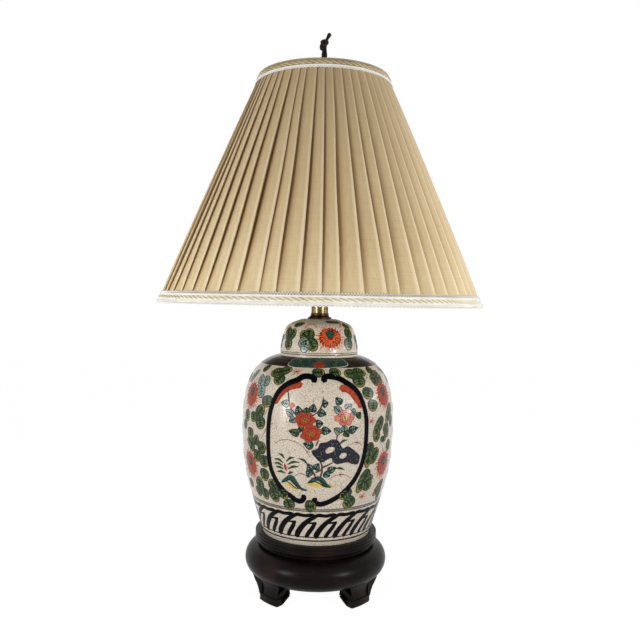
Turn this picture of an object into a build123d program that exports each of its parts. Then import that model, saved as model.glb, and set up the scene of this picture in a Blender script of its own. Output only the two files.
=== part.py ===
"""Ceramic ginger-jar table lamp with a pleated empire shade, in millimetres.

The lamp stands on the XY plane with its axis on Z, and the painted panel of the
jar faces -Y. From the table up: a turned and carved wooden stand, the jar and its
lid, a brass neck, the socket with its bulb, the harp, the shade and the finial. One
threaded pipe and a nut under the stand clamp the stand, jar, lid and brass together.
"""

import os
from math import atan2, cos, degrees, hypot, pi, radians, sin

from build123d import *

# Fits between pieces
slide_fit = 0.25  # loose fit, as of a pipe in a drilled hole
running_fit = 0.05  # radial clearance of a shaft or thread in its bore
cloth_fit = 0.2  # gap between layers of the shade
weld_gap = 0.1  # between the ends of wires that are brazed together

# Wooden stand
foot_height = 27.0
foot_inner_radius = 60.5
foot_top_half_width = 18.5
ankle_radius = 82.6
ankle_height = 14.0
ankle_half_width = 14.0
toe_radius = 84.5
toe_height = 9.5
toe_half_width = 16.5
toe_ledge = 1.3  # from the face of the toe in to the ankle
toe_bevel = 1.5
sole_inner_radius = 77.0
sole_rise = 11.0  # of the underside, at the back of a foot
foot_wall = 3.4  # around the window in a foot
foot_bar = 4.2  # slanting bar under the window
foot_bar_rise = 6.5  # from the ankle to the back of a foot
foot_hollow_depth = 4.0  # carved in each side, under the bar
apron_height = 36.0
apron_radius = 94.0
apron_foot_radius = 85.0
waist_height = 5.0
waist_depth = 9.0  # from the edge of the rim in to the waist
waist_flare = 3.5
rim_height = 12.0
rim_radius = 81.0
rim_wall = 7.5  # from the recess of the jar out to the edge of the rim
rim_edge_radius = 1.6
rim_groove_radius = 0.9
jar_recess_depth = 5.0
jar_foot_gap = 3.0  # around the foot of the jar in its recess
pocket_radius = 32.0
pocket_depth = 22.0

# Cord inlet in the back of the apron
cord_bore_radius = 3.6
cord_bush_wall = 1.2
cord_bush_length = 16.0
cord_flange_radius = 7.0
cord_flange_thickness = 2.5
cord_inlet_height = 11.0  # above the underside of the apron
cord_seat_depth = 5.0  # from the widest part of the apron

# Jar: radius and height above its own foot, from over the foot to the edge of the ledge
jar_profile = [
    (79.3, 28.0),
    (89.2, 61.0),
    (96.8, 93.0),
    (100.6, 138.0),
    (98.6, 182.0),
    (92.3, 206.0),
    (83.0, 221.5),
    (75.0, 228.5),
    (55.0, 237.5),
]
jar_ledge_height = 237.5  # to the ledge that carries the lid
jar_neck_radius = 44.0
jar_neck_height = 13.0
jar_wall = 6.0
jar_floor = 8.0

# Lid, heights above the ledge of the jar
lid_radius = 52.0
lid_rim_height = 7.0
lid_side_radius = 49.6
lid_side_height = 23.0
lid_crown_radius = 42.0
lid_crown_height = 40.0
lid_dome_radius = 28.0
lid_dome_height = 46.5
lid_height = 48.5
lid_wall = 5.0
lid_flat_radius = 17.0

# Threaded pipe and the nut under the stand
pipe_radius = 4.85
pipe_bore_radius = 3.4
pipe_tail = 2.5
washer_radius = 19.0
washer_thickness = 2.0
nut_across_flats = 15.0
nut_thickness = 5.0

# Brass neck on the lid
cap_radius = 16.0
cap_thickness = 2.2
cap_step_radius = 13.5
cap_height = 6.0
neck_radius = 11.3
neck_bore_radius = 9.8
neck_height = 24.0
neck_lip = 0.9

# Harp saddle, harp and its sleeves
saddle_length = 76.0
saddle_width = 13.0
saddle_thickness = 1.6
tab_offset = 28.0  # from the axis to the middle of a tab
tab_thickness = 1.6
tab_width = 5.0
tab_height = 10.0
harp_height = 279.4  # from the saddle to the face that carries the shade
harp_wire_radius = 2.0
harp_half_width = 61.0
harp_leg_height = 44.0
harp_waist_height = 96.0
harp_shoulder_drop = 66.0
harp_shoulder_half_width = 57.0
harp_crown_half_width = 24.0
sleeve_wall = 0.9
sleeve_height = 12.0
sleeve_depth = 6.4
stud_base_radius = 7.0
stud_base_height = 7.0
stud_radius = 3.15
stud_height = 13.0

# Socket
socket_cap_height = 16.0
socket_cap_foot_radius = 10.5
socket_metal = 0.8
shell_radius = 16.3
shell_height = 58.0  # top of the shell above the saddle
shell_lap = 5.0  # length of shell inside the rim of the cap
liner_wall = 0.7
switch_body_height = 20.0
switch_body_foot = 14.0  # above the saddle
screw_shell_bore = 13.4
screw_shell_wall = 0.5
contact_radius = 4.0
contact_thickness = 1.2
knob_radius = 6.5
knob_length = 12.0
knob_gap = 5.0  # from the shell to the knob
knob_shaft_radius = 2.2
knob_shaft_depth = 9.0  # length of shaft inside the switch body
knob_height = 24.0  # above the saddle
knob_flutes = 12
knob_flute_radius = 0.9
knob_window_radius = 4.5

# Bulb
bulb_cap_radius = 13.1
bulb_cap_height = 23.0
bulb_tip_radius = 4.5
bulb_tip_height = 3.5
bulb_neck_radius = 12.6
bulb_radius = 30.0
bulb_length = 108.0
bulb_glass = 1.0

# Shade, measured over its trim
shade_top_radius = 89.0
shade_bottom_radius = 216.0
shade_height = 303.0
shade_drop = 12.7  # from the top of the shade down to the spider washer
trim_width = 13.0
trim_thickness = 1.9
trim_web = 1.1  # between the cords along its edges
cloth_edge = 1.0  # cloth stops this far inside the trim's edge
cloth_thickness = 0.9
pleat_count = 56
pleat_depth_bottom = 2.6  # a pleat grows shallower as it narrows up the shade
pleat_ramp = 0.93  # share of a pleat that rises to its fold
frame_wire_radius = 1.5
ring_inset = 3.0  # from an edge of the shade to the middle of its ring
rib_count = 8
lining_thickness = 0.8
lining_top_gap = 3.5  # lining stops below the top ring to clear the spider
spider_washer_radius = 13.0
spider_hole_radius = 5.5
spider_thickness = 1.6
spider_arms = 3

# Finial
finial_height = 75.0
finial_base_radius = 8.0
finial_base_height = 5.0
finial_collar_radius = 5.8
finial_stem_radius = 4.0
finial_bud_radius = 2.7
finial_tip_length = 13.0
finial_tip_lean = 27.0  # degrees
finial_tip_reach = 7.5  # from the axis to the end of the tip
finial_bore_depth = 14.0

# Levels, from the table up
apron_bottom = foot_height
apron_top = apron_bottom + apron_height
rim_bottom = apron_top + waist_height
rim_top = rim_bottom + rim_height
jar_base = rim_top - jar_recess_depth
jar_ledge = jar_base + jar_ledge_height
jar_mouth = jar_ledge + jar_neck_height
lid_top = jar_ledge + lid_height
cap_top = lid_top + cap_height
saddle_bottom = cap_top + neck_height
saddle_top = saddle_bottom + saddle_thickness
harp_seat = saddle_bottom + harp_height
spider_top = harp_seat + spider_thickness
shade_top = harp_seat + shade_drop
shade_bottom = shade_top - shade_height
pocket_ceiling = apron_bottom + pocket_depth
washer_bottom = pocket_ceiling - washer_thickness
nut_bottom = washer_bottom - nut_thickness
socket_cap_top = saddle_top + socket_cap_height
shell_top = saddle_top + shell_height
switch_body_bottom = saddle_top + switch_body_foot
switch_body_top = switch_body_bottom + switch_body_height
knob_axis = saddle_top + knob_height
contact_top = switch_body_top + contact_thickness
bulb_bottom = contact_top
bulb_cap_bottom = bulb_bottom + bulb_tip_height
bulb_cap_top = bulb_cap_bottom + bulb_cap_height
bulb_top = bulb_bottom + bulb_length

os.makedirs("parts", exist_ok=True)


def save(builder, name):
    """Labels a finished piece and writes its STEP file."""
    builder.part.label = name
    export_step(builder.part, f"parts/{name}.step")


def face_out(direction, distance, height):
    """Plane that looks out from the lamp's axis along a level direction."""
    origin = Vector(*direction, 0) * distance + Vector(0, 0, height)
    return Plane(origin=origin, x_dir=(-direction[1], direction[0], 0), z_dir=(*direction, 0))


front = (0, -1)
back = (0, 1)

# Stand top: a turned dish with a moulded rim, a waist and a boss that fills the apron's middle
apron_middle = apron_bottom + apron_height / 2
waist_radius = rim_radius - waist_depth
jar_recess_radius = rim_radius - rim_wall
groove_pitch = rim_height / 3
cord_axis = apron_bottom + cord_inlet_height
cord_seat = apron_radius - cord_seat_depth
cord_bush_radius = cord_bore_radius + cord_bush_wall

bulge_end = (waist_radius + waist_flare, apron_top)
boss_radius = pocket_radius - slide_fit

with BuildPart() as stand_top:
    with BuildSketch(Plane.XZ):
        with BuildLine():
            Polyline(
                (0, pocket_ceiling),
                (boss_radius, pocket_ceiling),
                (boss_radius, apron_top),
                bulge_end,
                (waist_radius, rim_bottom),
                (rim_radius, rim_bottom),
                (rim_radius, rim_top),
                (jar_recess_radius, rim_top),
                (jar_recess_radius, jar_base),
                (0, jar_base),
                close=True,
            )
        make_face()
    revolve(axis=Axis.Z)
    rim_edges = stand_top.edges().filter_by(GeomType.CIRCLE)
    rim_edges = rim_edges.filter_by(lambda edge: abs(edge.radius - rim_radius) < slide_fit)
    fillet(rim_edges, radius=rim_edge_radius)
    with BuildSketch(Plane.XZ):
        with Locations((rim_radius, rim_bottom + groove_pitch), (rim_radius, rim_top - groove_pitch)):
            Circle(rim_groove_radius)
    revolve(axis=Axis.Z, mode=Mode.SUBTRACT)
    with Locations((0, 0, jar_base)):
        Hole(pipe_radius + slide_fit)
save(stand_top, "stand_top")

# Apron: four turned quarters that meet over the feet, with the hole for the lead in the back one
quarters = {"right": 0, "back": 90, "left": 180, "front": 270}

for position, bearing in quarters.items():
    with BuildPart() as apron:
        with BuildSketch(Plane.XZ.rotated((0, 0, bearing - 45))):
            with BuildLine():
                Polyline(
                    bulge_end,
                    (pocket_radius, apron_top),
                    (pocket_radius, apron_bottom),
                    (apron_foot_radius, apron_bottom),
                )
                ThreePointArc((apron_foot_radius, apron_bottom), (apron_radius, apron_middle), bulge_end)
            make_face()
        revolve(axis=Axis.Z, revolution_arc=90)
        if position == "back":
            with Locations(face_out(back, apron_radius, cord_axis)):
                CounterBoreHole(
                    cord_bush_radius + running_fit,
                    cord_flange_radius + slide_fit,
                    cord_seat_depth,
                    depth=apron_radius - pocket_radius + cord_seat_depth,
                )
    save(apron, f"apron_{position}")

# Cord bush: flanged sleeve that lines the hole where the lamp's lead leaves the stand
with BuildPart() as cord_bush:
    with BuildSketch(face_out(back, cord_seat, cord_axis)):
        Circle(cord_flange_radius)
    extrude(amount=cord_flange_thickness)
    with BuildSketch(face_out(back, cord_seat, cord_axis)):
        Circle(cord_bush_radius)
    extrude(amount=cord_flange_thickness - cord_bush_length)
    with Locations(face_out(back, cord_seat + cord_flange_thickness, cord_axis)):
        Hole(cord_bore_radius)
save(cord_bush, "cord_bush")

# Feet: hoofs that curl inwards, with a window behind the ankle and a carved hollow in each side
feet = {"front_left": 225, "front_right": 315, "back_right": 45, "back_left": 135}
window_front = ankle_radius - foot_wall
window_back = foot_inner_radius + foot_wall
window_top = foot_height - foot_wall / 2
bar_foot = (window_front, ankle_height)
bar_head = (window_back, ankle_height + foot_bar_rise)
sole_slope = sole_rise / (sole_inner_radius - foot_inner_radius)
hollow_front = sole_inner_radius - foot_wall / 2
hollow_back = foot_inner_radius + foot_wall / 2


def above_sole(radius):
    """Height of a carved edge that keeps clear of the sloping sole."""
    return (sole_inner_radius - radius) * sole_slope + foot_wall / 2


for position, bearing in feet.items():
    outward = (cos(radians(bearing)), sin(radians(bearing)))
    side_view = Plane(origin=(0, 0, 0), x_dir=(*outward, 0), z_dir=(outward[1], -outward[0], 0))
    with BuildPart() as foot:
        with BuildSketch(Plane.XZ):
            with BuildLine():
                ankle_foot = (toe_radius - toe_ledge, toe_height)
                Polyline(
                    (apron_foot_radius, foot_height),
                    (foot_inner_radius, foot_height),
                    (foot_inner_radius, sole_rise),
                    (sole_inner_radius, 0),
                    (toe_radius - toe_bevel, 0),
                    (toe_radius, toe_bevel),
                    (toe_radius, toe_height),
                    ankle_foot,
                )
                ThreePointArc(ankle_foot, (ankle_radius, ankle_height), (apron_foot_radius, foot_height))
            make_face()
        revolve(axis=Axis.Z)
        with BuildSketch(face_out(outward, 0, 0)):
            with BuildLine():
                Polyline(
                    (0, 0),
                    (toe_half_width - toe_bevel, 0),
                    (toe_half_width, toe_bevel),
                    (toe_half_width, toe_height),
                    (toe_half_width - toe_ledge, toe_height),
                )
                ThreePointArc(
                    (toe_half_width - toe_ledge, toe_height),
                    (ankle_half_width, ankle_height),
                    (foot_top_half_width, foot_height),
                )
                Line((foot_top_half_width, foot_height), (0, foot_height))
                mirror(about=Plane.YZ)
            make_face()
        extrude(amount=apron_radius, mode=Mode.INTERSECT)
        with BuildSketch(side_view):
            with BuildLine():
                Polyline(bar_foot, bar_head, (window_back, window_top), (window_front, window_top), close=True)
            make_face()
        extrude(amount=apron_radius, both=True, mode=Mode.SUBTRACT)
        hollow_plane = side_view.offset(toe_half_width - foot_hollow_depth)
        with BuildSketch(hollow_plane):
            with BuildLine():
                Polyline(
                    (hollow_front, above_sole(hollow_front)),
                    (hollow_back, above_sole(hollow_back)),
                    (hollow_back, bar_head[1] - foot_bar),
                    (hollow_front, bar_foot[1] - foot_bar),
                    close=True,
                )
            make_face()
        carving = extrude(amount=toe_half_width, mode=Mode.SUBTRACT)
        mirror(carving, about=side_view, mode=Mode.SUBTRACT)
    save(foot, f"foot_{position}")


def inset(points, wall):
    """Moves the inner points of a profile to their left by a wall thickness."""
    moved = []
    for before, point, after in zip(points, points[1:], points[2:]):
        run, rise = after[0] - before[0], after[1] - before[1]
        step = wall / hypot(run, rise)
        moved.append((point[0] - rise * step, point[1] + run * step))
    return moved


# Jar: hollow body of revolution, open at its neck, with a drilled floor
jar_mouth_radius = jar_neck_radius - jar_wall
jar_foot_radius = jar_recess_radius - jar_foot_gap

with BuildPart() as jar_body:
    with BuildSketch(Plane.XZ):
        with BuildLine():
            outside = [(jar_foot_radius, jar_base)]
            outside += [(radius, jar_base + height) for radius, height in jar_profile]
            Spline(*outside)
            Polyline(
                outside[-1],
                (jar_neck_radius, jar_ledge),
                (jar_neck_radius, jar_mouth),
                (jar_mouth_radius, jar_mouth),
                (jar_mouth_radius, jar_ledge - jar_wall),
            )
            inner_foot = (jar_foot_radius - jar_wall, jar_base + jar_floor)
            Spline(inner_foot, *inset(outside, jar_wall), (jar_mouth_radius, jar_ledge - jar_wall))
            Polyline(inner_foot, (0, jar_base + jar_floor), (0, jar_base), outside[0])
        make_face()
    revolve(axis=Axis.Z)
    with Locations((0, 0, jar_base + jar_floor)):
        Hole(pipe_radius + slide_fit)
save(jar_body, "jar_body")

# Lid: domed cap whose rim stands on the ledge of the jar, around the neck
with BuildPart() as jar_lid:
    with BuildSketch(Plane.XZ):
        with BuildLine():
            Line((lid_radius, jar_ledge), (lid_radius, jar_ledge + lid_rim_height))
            lid_points = [
                (lid_radius, jar_ledge + lid_rim_height),
                (lid_side_radius, jar_ledge + lid_side_height),
                (lid_crown_radius, jar_ledge + lid_crown_height),
                (lid_dome_radius, jar_ledge + lid_dome_height),
                (lid_flat_radius, lid_top),
            ]
            Spline(*lid_points, tangents=[(0, 1), (-1, 0)])
            under_lid = lid_top - lid_wall
            Polyline((lid_flat_radius, lid_top), (0, lid_top), (0, under_lid), (lid_flat_radius, under_lid))
            hollow = [(radius - lid_wall, height - lid_wall / 2) for radius, height in lid_points[1:-1]]
            rim_inside = (lid_radius - lid_wall, jar_ledge)
            Spline((lid_flat_radius, under_lid), *reversed(hollow), rim_inside, tangents=[(1, 0), (0, -1)])
            Line(rim_inside, (lid_radius, jar_ledge))
        make_face()
    revolve(axis=Axis.Z)
    with Locations((0, 0, lid_top)):
        Hole(pipe_radius + slide_fit)
save(jar_lid, "jar_lid")

# Lamp pipe: hollow threaded rod from under the stand up into the socket cap
pipe_bottom = nut_bottom - pipe_tail
pipe_top = saddle_top + socket_metal + pipe_tail

with BuildPart() as lamp_pipe:
    with BuildSketch(Plane.XY.offset(pipe_bottom)):
        Circle(pipe_radius)
        Circle(pipe_bore_radius, mode=Mode.SUBTRACT)
    extrude(amount=pipe_top - pipe_bottom)
save(lamp_pipe, "lamp_pipe")

# Washer and nut that clamp the pipe in the pocket under the stand
with BuildPart() as base_washer:
    with BuildSketch(Plane.XY.offset(washer_bottom)):
        Circle(washer_radius)
        Circle(pipe_radius + running_fit, mode=Mode.SUBTRACT)
    extrude(amount=washer_thickness)
save(base_washer, "base_washer")

with BuildPart() as base_nut:
    with BuildSketch(Plane.XY.offset(nut_bottom)):
        RegularPolygon(nut_across_flats / 2, 6, major_radius=False)
        Circle(pipe_radius + running_fit, mode=Mode.SUBTRACT)
    extrude(amount=nut_thickness)
save(base_nut, "base_nut")

# Vase cap: stepped brass flange that covers the hole in the lid
with BuildPart() as vase_cap:
    with BuildSketch(Plane.XZ):
        with BuildLine():
            Polyline(
                (pipe_radius + slide_fit, lid_top),
                (cap_radius, lid_top),
                (cap_radius, lid_top + cap_thickness),
                (cap_step_radius, lid_top + cap_thickness),
            )
            cap_waist = ((cap_step_radius + neck_radius) / 2, (lid_top + cap_thickness + cap_top) / 2)
            Spline(
                (cap_step_radius, lid_top + cap_thickness),
                cap_waist,
                (neck_radius + neck_lip, cap_top),
                tangents=[(0, 1), (0, 1)],
            )
            Polyline(
                (neck_radius + neck_lip, cap_top),
                (pipe_radius + slide_fit, cap_top),
                (pipe_radius + slide_fit, lid_top),
            )
        make_face()
    revolve(axis=Axis.Z)
    flange_edges = vase_cap.edges().filter_by(GeomType.CIRCLE)
    flange_edges = flange_edges.filter_by(lambda edge: abs(edge.radius - cap_radius) < running_fit)
    fillet(flange_edges, radius=cap_thickness * 0.4)
save(vase_cap, "vase_cap")

# Neck: brass tube with a turned lip at each end
with BuildPart() as neck_tube:
    with BuildSketch(Plane.XZ):
        with BuildLine():
            Polyline(
                (neck_radius, cap_top + 2 * neck_lip),
                (neck_radius, saddle_bottom - 2 * neck_lip),
            )
            ThreePointArc(
                (neck_radius, saddle_bottom - 2 * neck_lip),
                (neck_radius + neck_lip, saddle_bottom - neck_lip),
                (neck_radius, saddle_bottom),
            )
            Polyline(
                (neck_radius, saddle_bottom),
                (neck_bore_radius, saddle_bottom),
                (neck_bore_radius, cap_top),
                (neck_radius, cap_top),
            )
            ThreePointArc(
                (neck_radius, cap_top),
                (neck_radius + neck_lip, cap_top + neck_lip),
                (neck_radius, cap_top + 2 * neck_lip),
            )
        make_face()
    revolve(axis=Axis.Z)
save(neck_tube, "neck_tube")

# Harp saddle: flat strip clamped under the socket, with an upright tab near each end
with BuildPart() as harp_saddle:
    with BuildSketch(Plane.XY.offset(saddle_bottom)):
        SlotOverall(saddle_length, saddle_width)
        Circle(pipe_radius + slide_fit, mode=Mode.SUBTRACT)
    extrude(amount=saddle_thickness)
    with BuildSketch(Plane.XY.offset(saddle_top)):
        with Locations((-tab_offset, 0), (tab_offset, 0)):
            Rectangle(tab_thickness, tab_width)
    extrude(amount=tab_height)
save(harp_saddle, "harp_saddle")

# Harp: one bent wire whose legs stand on the saddle outside the tabs
leg_offset = tab_offset + tab_thickness / 2 + running_fit + harp_wire_radius
harp_crown = harp_seat - stud_base_height / 2
harp_half_path = [
    (leg_offset, saddle_top),
    (leg_offset, saddle_top + harp_leg_height),
    (harp_half_width, saddle_top + harp_waist_height),
    (harp_shoulder_half_width, harp_crown - harp_shoulder_drop),
    (harp_crown_half_width, harp_crown),
]
harp_bends = [60.0, 70.0, 60.0, 16.0]

with BuildPart() as harp_wire:
    with BuildLine(Plane.XZ) as harp_path:
        mirrored_half = [(-x, z) for x, z in reversed(harp_half_path)]
        FilletPolyline(*harp_half_path, *mirrored_half, radius=[*harp_bends, *reversed(harp_bends)])
    with BuildSketch(Plane(origin=harp_path.line @ 0, z_dir=harp_path.line % 0)):
        Circle(harp_wire_radius)
    sweep(path=harp_path.line)
save(harp_wire, "harp_wire")

# Harp stud: drilled block on the crown of the wire, with the screw that takes the finial
with BuildPart() as harp_stud:
    with BuildSketch(Plane.XY.offset(harp_seat - stud_base_height)):
        Circle(stud_base_radius)
    extrude(amount=stud_base_height)
    chamfer(harp_stud.edges().group_by(Axis.Z)[0], length=1)
    with BuildSketch(Plane.XY.offset(harp_seat)):
        Circle(stud_radius)
    extrude(amount=stud_height)
    with Locations(Plane(origin=(stud_base_radius, 0, harp_crown), z_dir=(1, 0, 0))):
        Hole(harp_wire_radius + running_fit)
save(harp_stud, "harp_stud")

# Sleeves: slip down over a tab and a leg to lock the harp in the saddle
sleeve_inner = tab_offset - tab_thickness / 2 - slide_fit
sleeve_outer = leg_offset + harp_wire_radius + slide_fit
sleeve_middle = (sleeve_inner + sleeve_outer) / 2
sleeve_bore = sleeve_outer - sleeve_inner

for side, sign in {"left": -1, "right": 1}.items():
    with BuildPart() as sleeve:
        with BuildSketch(Plane.XY.offset(saddle_top)):
            with Locations((sign * sleeve_middle, 0)):
                RectangleRounded(
                    sleeve_bore + 2 * sleeve_wall,
                    sleeve_depth + 2 * sleeve_wall,
                    2 * sleeve_wall,
                )
                RectangleRounded(sleeve_bore, sleeve_depth, sleeve_wall / 2, mode=Mode.SUBTRACT)
        extrude(amount=sleeve_height)
    save(sleeve, f"harp_sleeve_{side}")

# Socket cap: flared brass cup on the end of the pipe
cap_rim_radius = shell_radius + running_fit + socket_metal
shell_bottom = socket_cap_top - shell_lap

with BuildPart() as socket_cap:
    with BuildSketch(Plane.XZ):
        with BuildLine():
            cap_foot = (socket_cap_foot_radius, saddle_top)
            cap_shoulder = (cap_rim_radius, shell_bottom - socket_metal)
            cup_floor = (socket_cap_foot_radius - socket_metal, saddle_top + socket_metal)
            cup_shoulder = (cap_rim_radius - socket_metal, shell_bottom)
            Line((pipe_radius + running_fit, saddle_top), cap_foot)
            Spline(cap_foot, cap_shoulder, tangents=[(1, 1), (0, 1)])
            Polyline(
                cap_shoulder,
                (cap_rim_radius, socket_cap_top),
                (cap_rim_radius - socket_metal, socket_cap_top),
                cup_shoulder,
            )
            Spline(cup_floor, cup_shoulder, tangents=[(1, 1), (0, 1)])
            Polyline(
                cup_floor,
                (pipe_radius + running_fit, saddle_top + socket_metal),
                (pipe_radius + running_fit, saddle_top),
            )
        make_face()
    revolve(axis=Axis.Z)
save(socket_cap, "socket_cap")

# Socket shell: brass tube with a rolled mouth and a window for the switch shaft
knob_window = face_out(front, shell_radius, knob_axis)

with BuildPart() as socket_shell:
    with BuildSketch(Plane.XY.offset(shell_bottom)):
        Circle(shell_radius)
        Circle(shell_radius - socket_metal, mode=Mode.SUBTRACT)
    extrude(amount=shell_top - shell_bottom)
    with BuildSketch(Plane.XZ):
        with Locations((shell_radius, shell_top - socket_metal)):
            Circle(socket_metal)
    revolve(axis=Axis.Z)
    with Locations(knob_window):
        Hole(knob_window_radius, depth=shell_radius)
save(socket_shell, "socket_shell")

# Socket liner: insulating card sleeve inside the shell
liner_radius = shell_radius - socket_metal - running_fit

with BuildPart() as socket_liner:
    with BuildSketch(Plane.XY.offset(switch_body_bottom)):
        Circle(liner_radius)
        Circle(liner_radius - liner_wall, mode=Mode.SUBTRACT)
    extrude(amount=shell_top - switch_body_bottom)
    with Locations(knob_window):
        Hole(knob_window_radius, depth=shell_radius)
save(socket_liner, "socket_liner")

# Switch body: moulded block in the bottom of the socket, bored for the switch shaft
switch_body_radius = liner_radius - liner_wall - running_fit

with BuildPart() as switch_body:
    with BuildSketch(Plane.XY.offset(switch_body_bottom)):
        Circle(switch_body_radius)
    extrude(amount=switch_body_height)
    with Locations(face_out(front, switch_body_radius, knob_axis)):
        Hole(knob_shaft_radius + running_fit, depth=knob_shaft_depth + running_fit)
save(switch_body, "switch_body")

# Screw shell: metal sleeve that takes the cap of the bulb
with BuildPart() as screw_shell:
    with BuildSketch(Plane.XY.offset(switch_body_top)):
        Circle(screw_shell_bore + screw_shell_wall)
        Circle(screw_shell_bore, mode=Mode.SUBTRACT)
    extrude(amount=shell_top - switch_body_top - socket_metal)
save(screw_shell, "screw_shell")

# Centre contact under the tip of the bulb
with BuildPart() as centre_contact:
    with BuildSketch(Plane.XY.offset(switch_body_top)):
        SlotOverall(4 * contact_radius, contact_radius)
        Circle(contact_radius)
    extrude(amount=contact_thickness)
save(centre_contact, "centre_contact")

# Switch knob: fluted knob on a round shaft
knob_foot = shell_radius + knob_gap
shaft_end = switch_body_radius - knob_shaft_depth

with BuildPart() as switch_knob:
    with BuildSketch(face_out(front, shaft_end, knob_axis)):
        Circle(knob_shaft_radius)
    extrude(amount=knob_foot - shaft_end)
    with BuildSketch(face_out(front, knob_foot, knob_axis)):
        Circle(knob_radius)
        with PolarLocations(knob_radius, knob_flutes):
            Circle(knob_flute_radius, mode=Mode.SUBTRACT)
    extrude(amount=knob_length, taper=3)
save(switch_knob, "switch_knob")

# Bulb: screw cap with its contact tip, and a pear-shaped glass envelope
bulb_centre = bulb_top - bulb_radius

with BuildPart() as bulb_cap:
    with BuildSketch(Plane.XZ):
        with BuildLine():
            Polyline(
                (bulb_cap_radius, bulb_cap_bottom),
                (bulb_cap_radius, bulb_cap_top),
                (0, bulb_cap_top),
                (0, bulb_bottom),
                (bulb_tip_radius, bulb_bottom),
                (bulb_cap_radius, bulb_cap_bottom),
            )
        make_face()
    revolve(axis=Axis.Z)
save(bulb_cap, "bulb_cap")

with BuildPart() as bulb_envelope:
    with BuildSketch(Plane.XZ):
        with BuildLine():
            for skin in (0, bulb_glass):
                shoulder = (bulb_radius - skin, bulb_centre)
                neck = (bulb_neck_radius - skin, bulb_cap_top)
                Spline(neck, shoulder, tangents=[(0, 1), (0, 1)], tangent_scalars=[1.2, 1.2])
                CenterArc((0, bulb_centre), bulb_radius - skin, 0, 90)
            Line((bulb_neck_radius, bulb_cap_top), (bulb_neck_radius - bulb_glass, bulb_cap_top))
            Line((0, bulb_top), (0, bulb_top - bulb_glass))
        make_face()
    revolve(axis=Axis.Z)
save(bulb_envelope, "bulb_envelope")

# Shade layers: each is a cone that runs parallel to the outer face of the shade
shade_lean = (shade_bottom_radius - shade_top_radius) / shade_height
shade_cosine = shade_height / hypot(shade_height, shade_bottom_radius - shade_top_radius)
wire_span = 2 * frame_wire_radius / shade_cosine
cloth_top = shade_top - cloth_edge
cloth_bottom = shade_bottom + cloth_edge
ring_top_height = shade_top - ring_inset
ring_bottom_height = shade_bottom + ring_inset


def shade_radius(height):
    """Radius over the trim at a height."""
    return shade_top_radius + (shade_top - height) * shade_lean


def fold_radius(height):
    """Radius over the folds of the pleats, under the trim."""
    return shade_radius(height) - trim_thickness / shade_cosine - cloth_fit


def pleat_depth(height):
    """Step of a pleat, in proportion to its width."""
    return pleat_depth_bottom * fold_radius(height) / fold_radius(shade_bottom)


def cover_bore(height):
    """Inner radius of the pleated cover, to the flats of its many-sided bore."""
    return fold_radius(height) - pleat_depth(height) - cloth_thickness / shade_cosine


def frame_radius(height):
    """Radius to the middle of the wire frame, between cover and lining."""
    return cover_bore(height) - cloth_fit - wire_span / 2


def lining_radius(height):
    """Outer radius of the lining."""
    return frame_radius(height) - wire_span / 2 - cloth_fit


def pleat_outline(height):
    """Corners of the knife pleats at a height: each rises to its fold, then steps in."""
    corners = []
    for number in range(pleat_count):
        root = 2 * pi * number / pleat_count
        fold = root + 2 * pi / pleat_count * pleat_ramp
        outer = fold_radius(height)
        inner = outer - pleat_depth(height)
        corners.append((inner * cos(root), inner * sin(root)))
        corners.append((outer * cos(fold), outer * sin(fold)))
    return corners


# Pleated cover: knife pleats that fan out down the shade, with one flat of the bore behind each
bore_turn = degrees(2 * pi / pleat_count * pleat_ramp / 2)

with BuildPart() as shade_cover:
    for height in (cloth_bottom, cloth_top):
        with BuildSketch(Plane.XY.offset(height)):
            with BuildLine():
                Polyline(*pleat_outline(height), close=True)
            make_face()
    loft(ruled=True)
    for height in (cloth_bottom, cloth_top):
        with BuildSketch(Plane.XY.offset(height)):
            RegularPolygon(cover_bore(height), pleat_count, major_radius=False, rotation=bore_turn)
    loft(ruled=True, mode=Mode.SUBTRACT)
save(shade_cover, "shade_cover")

# Lining: plain cloth cone inside the wire frame
lining_top = ring_top_height - lining_top_gap
lining_skin = lining_thickness / shade_cosine

with BuildPart() as shade_lining:
    with BuildSketch(Plane.XZ):
        with BuildLine():
            Polyline(
                (lining_radius(cloth_bottom), cloth_bottom),
                (lining_radius(lining_top), lining_top),
                (lining_radius(lining_top) - lining_skin, lining_top),
                (lining_radius(cloth_bottom) - lining_skin, cloth_bottom),
                close=True,
            )
        make_face()
    revolve(axis=Axis.Z)
save(shade_lining, "shade_lining")

# Wire frame: a ring at each edge and straight ribs between them
for ring_name, ring_height in (("top", ring_top_height), ("bottom", ring_bottom_height)):
    with BuildPart() as ring:
        with BuildSketch(Plane.XZ):
            with Locations((frame_radius(ring_height), ring_height)):
                Circle(frame_wire_radius)
        revolve(axis=Axis.Z)
    save(ring, f"shade_ring_{ring_name}")

rib_gap = frame_wire_radius + weld_gap
rib_top = ring_top_height - rib_gap * shade_cosine
rib_bottom = ring_bottom_height + rib_gap * shade_cosine

with BuildPart() as shade_ribs:
    for number in range(rib_count):
        bearing = 2 * pi * (number + 0.5) / rib_count
        ends = []
        for height in (rib_bottom, rib_top):
            radius = frame_radius(height)
            ends.append(Vector(radius * cos(bearing), radius * sin(bearing), height))
        with BuildSketch(Plane(origin=ends[0], z_dir=ends[1] - ends[0])):
            Circle(frame_wire_radius)
        extrude(amount=(ends[1] - ends[0]).length)
save(shade_ribs, "shade_ribs")

# Spider: washer on the harp, with arms that rise to the top ring
arm_start = spider_washer_radius - frame_wire_radius
arm_end = frame_radius(ring_top_height) - rib_gap
arm_low = harp_seat + spider_thickness / 2 + frame_wire_radius
arm_run = Vector(arm_end - arm_start, ring_top_height - arm_low)

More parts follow.
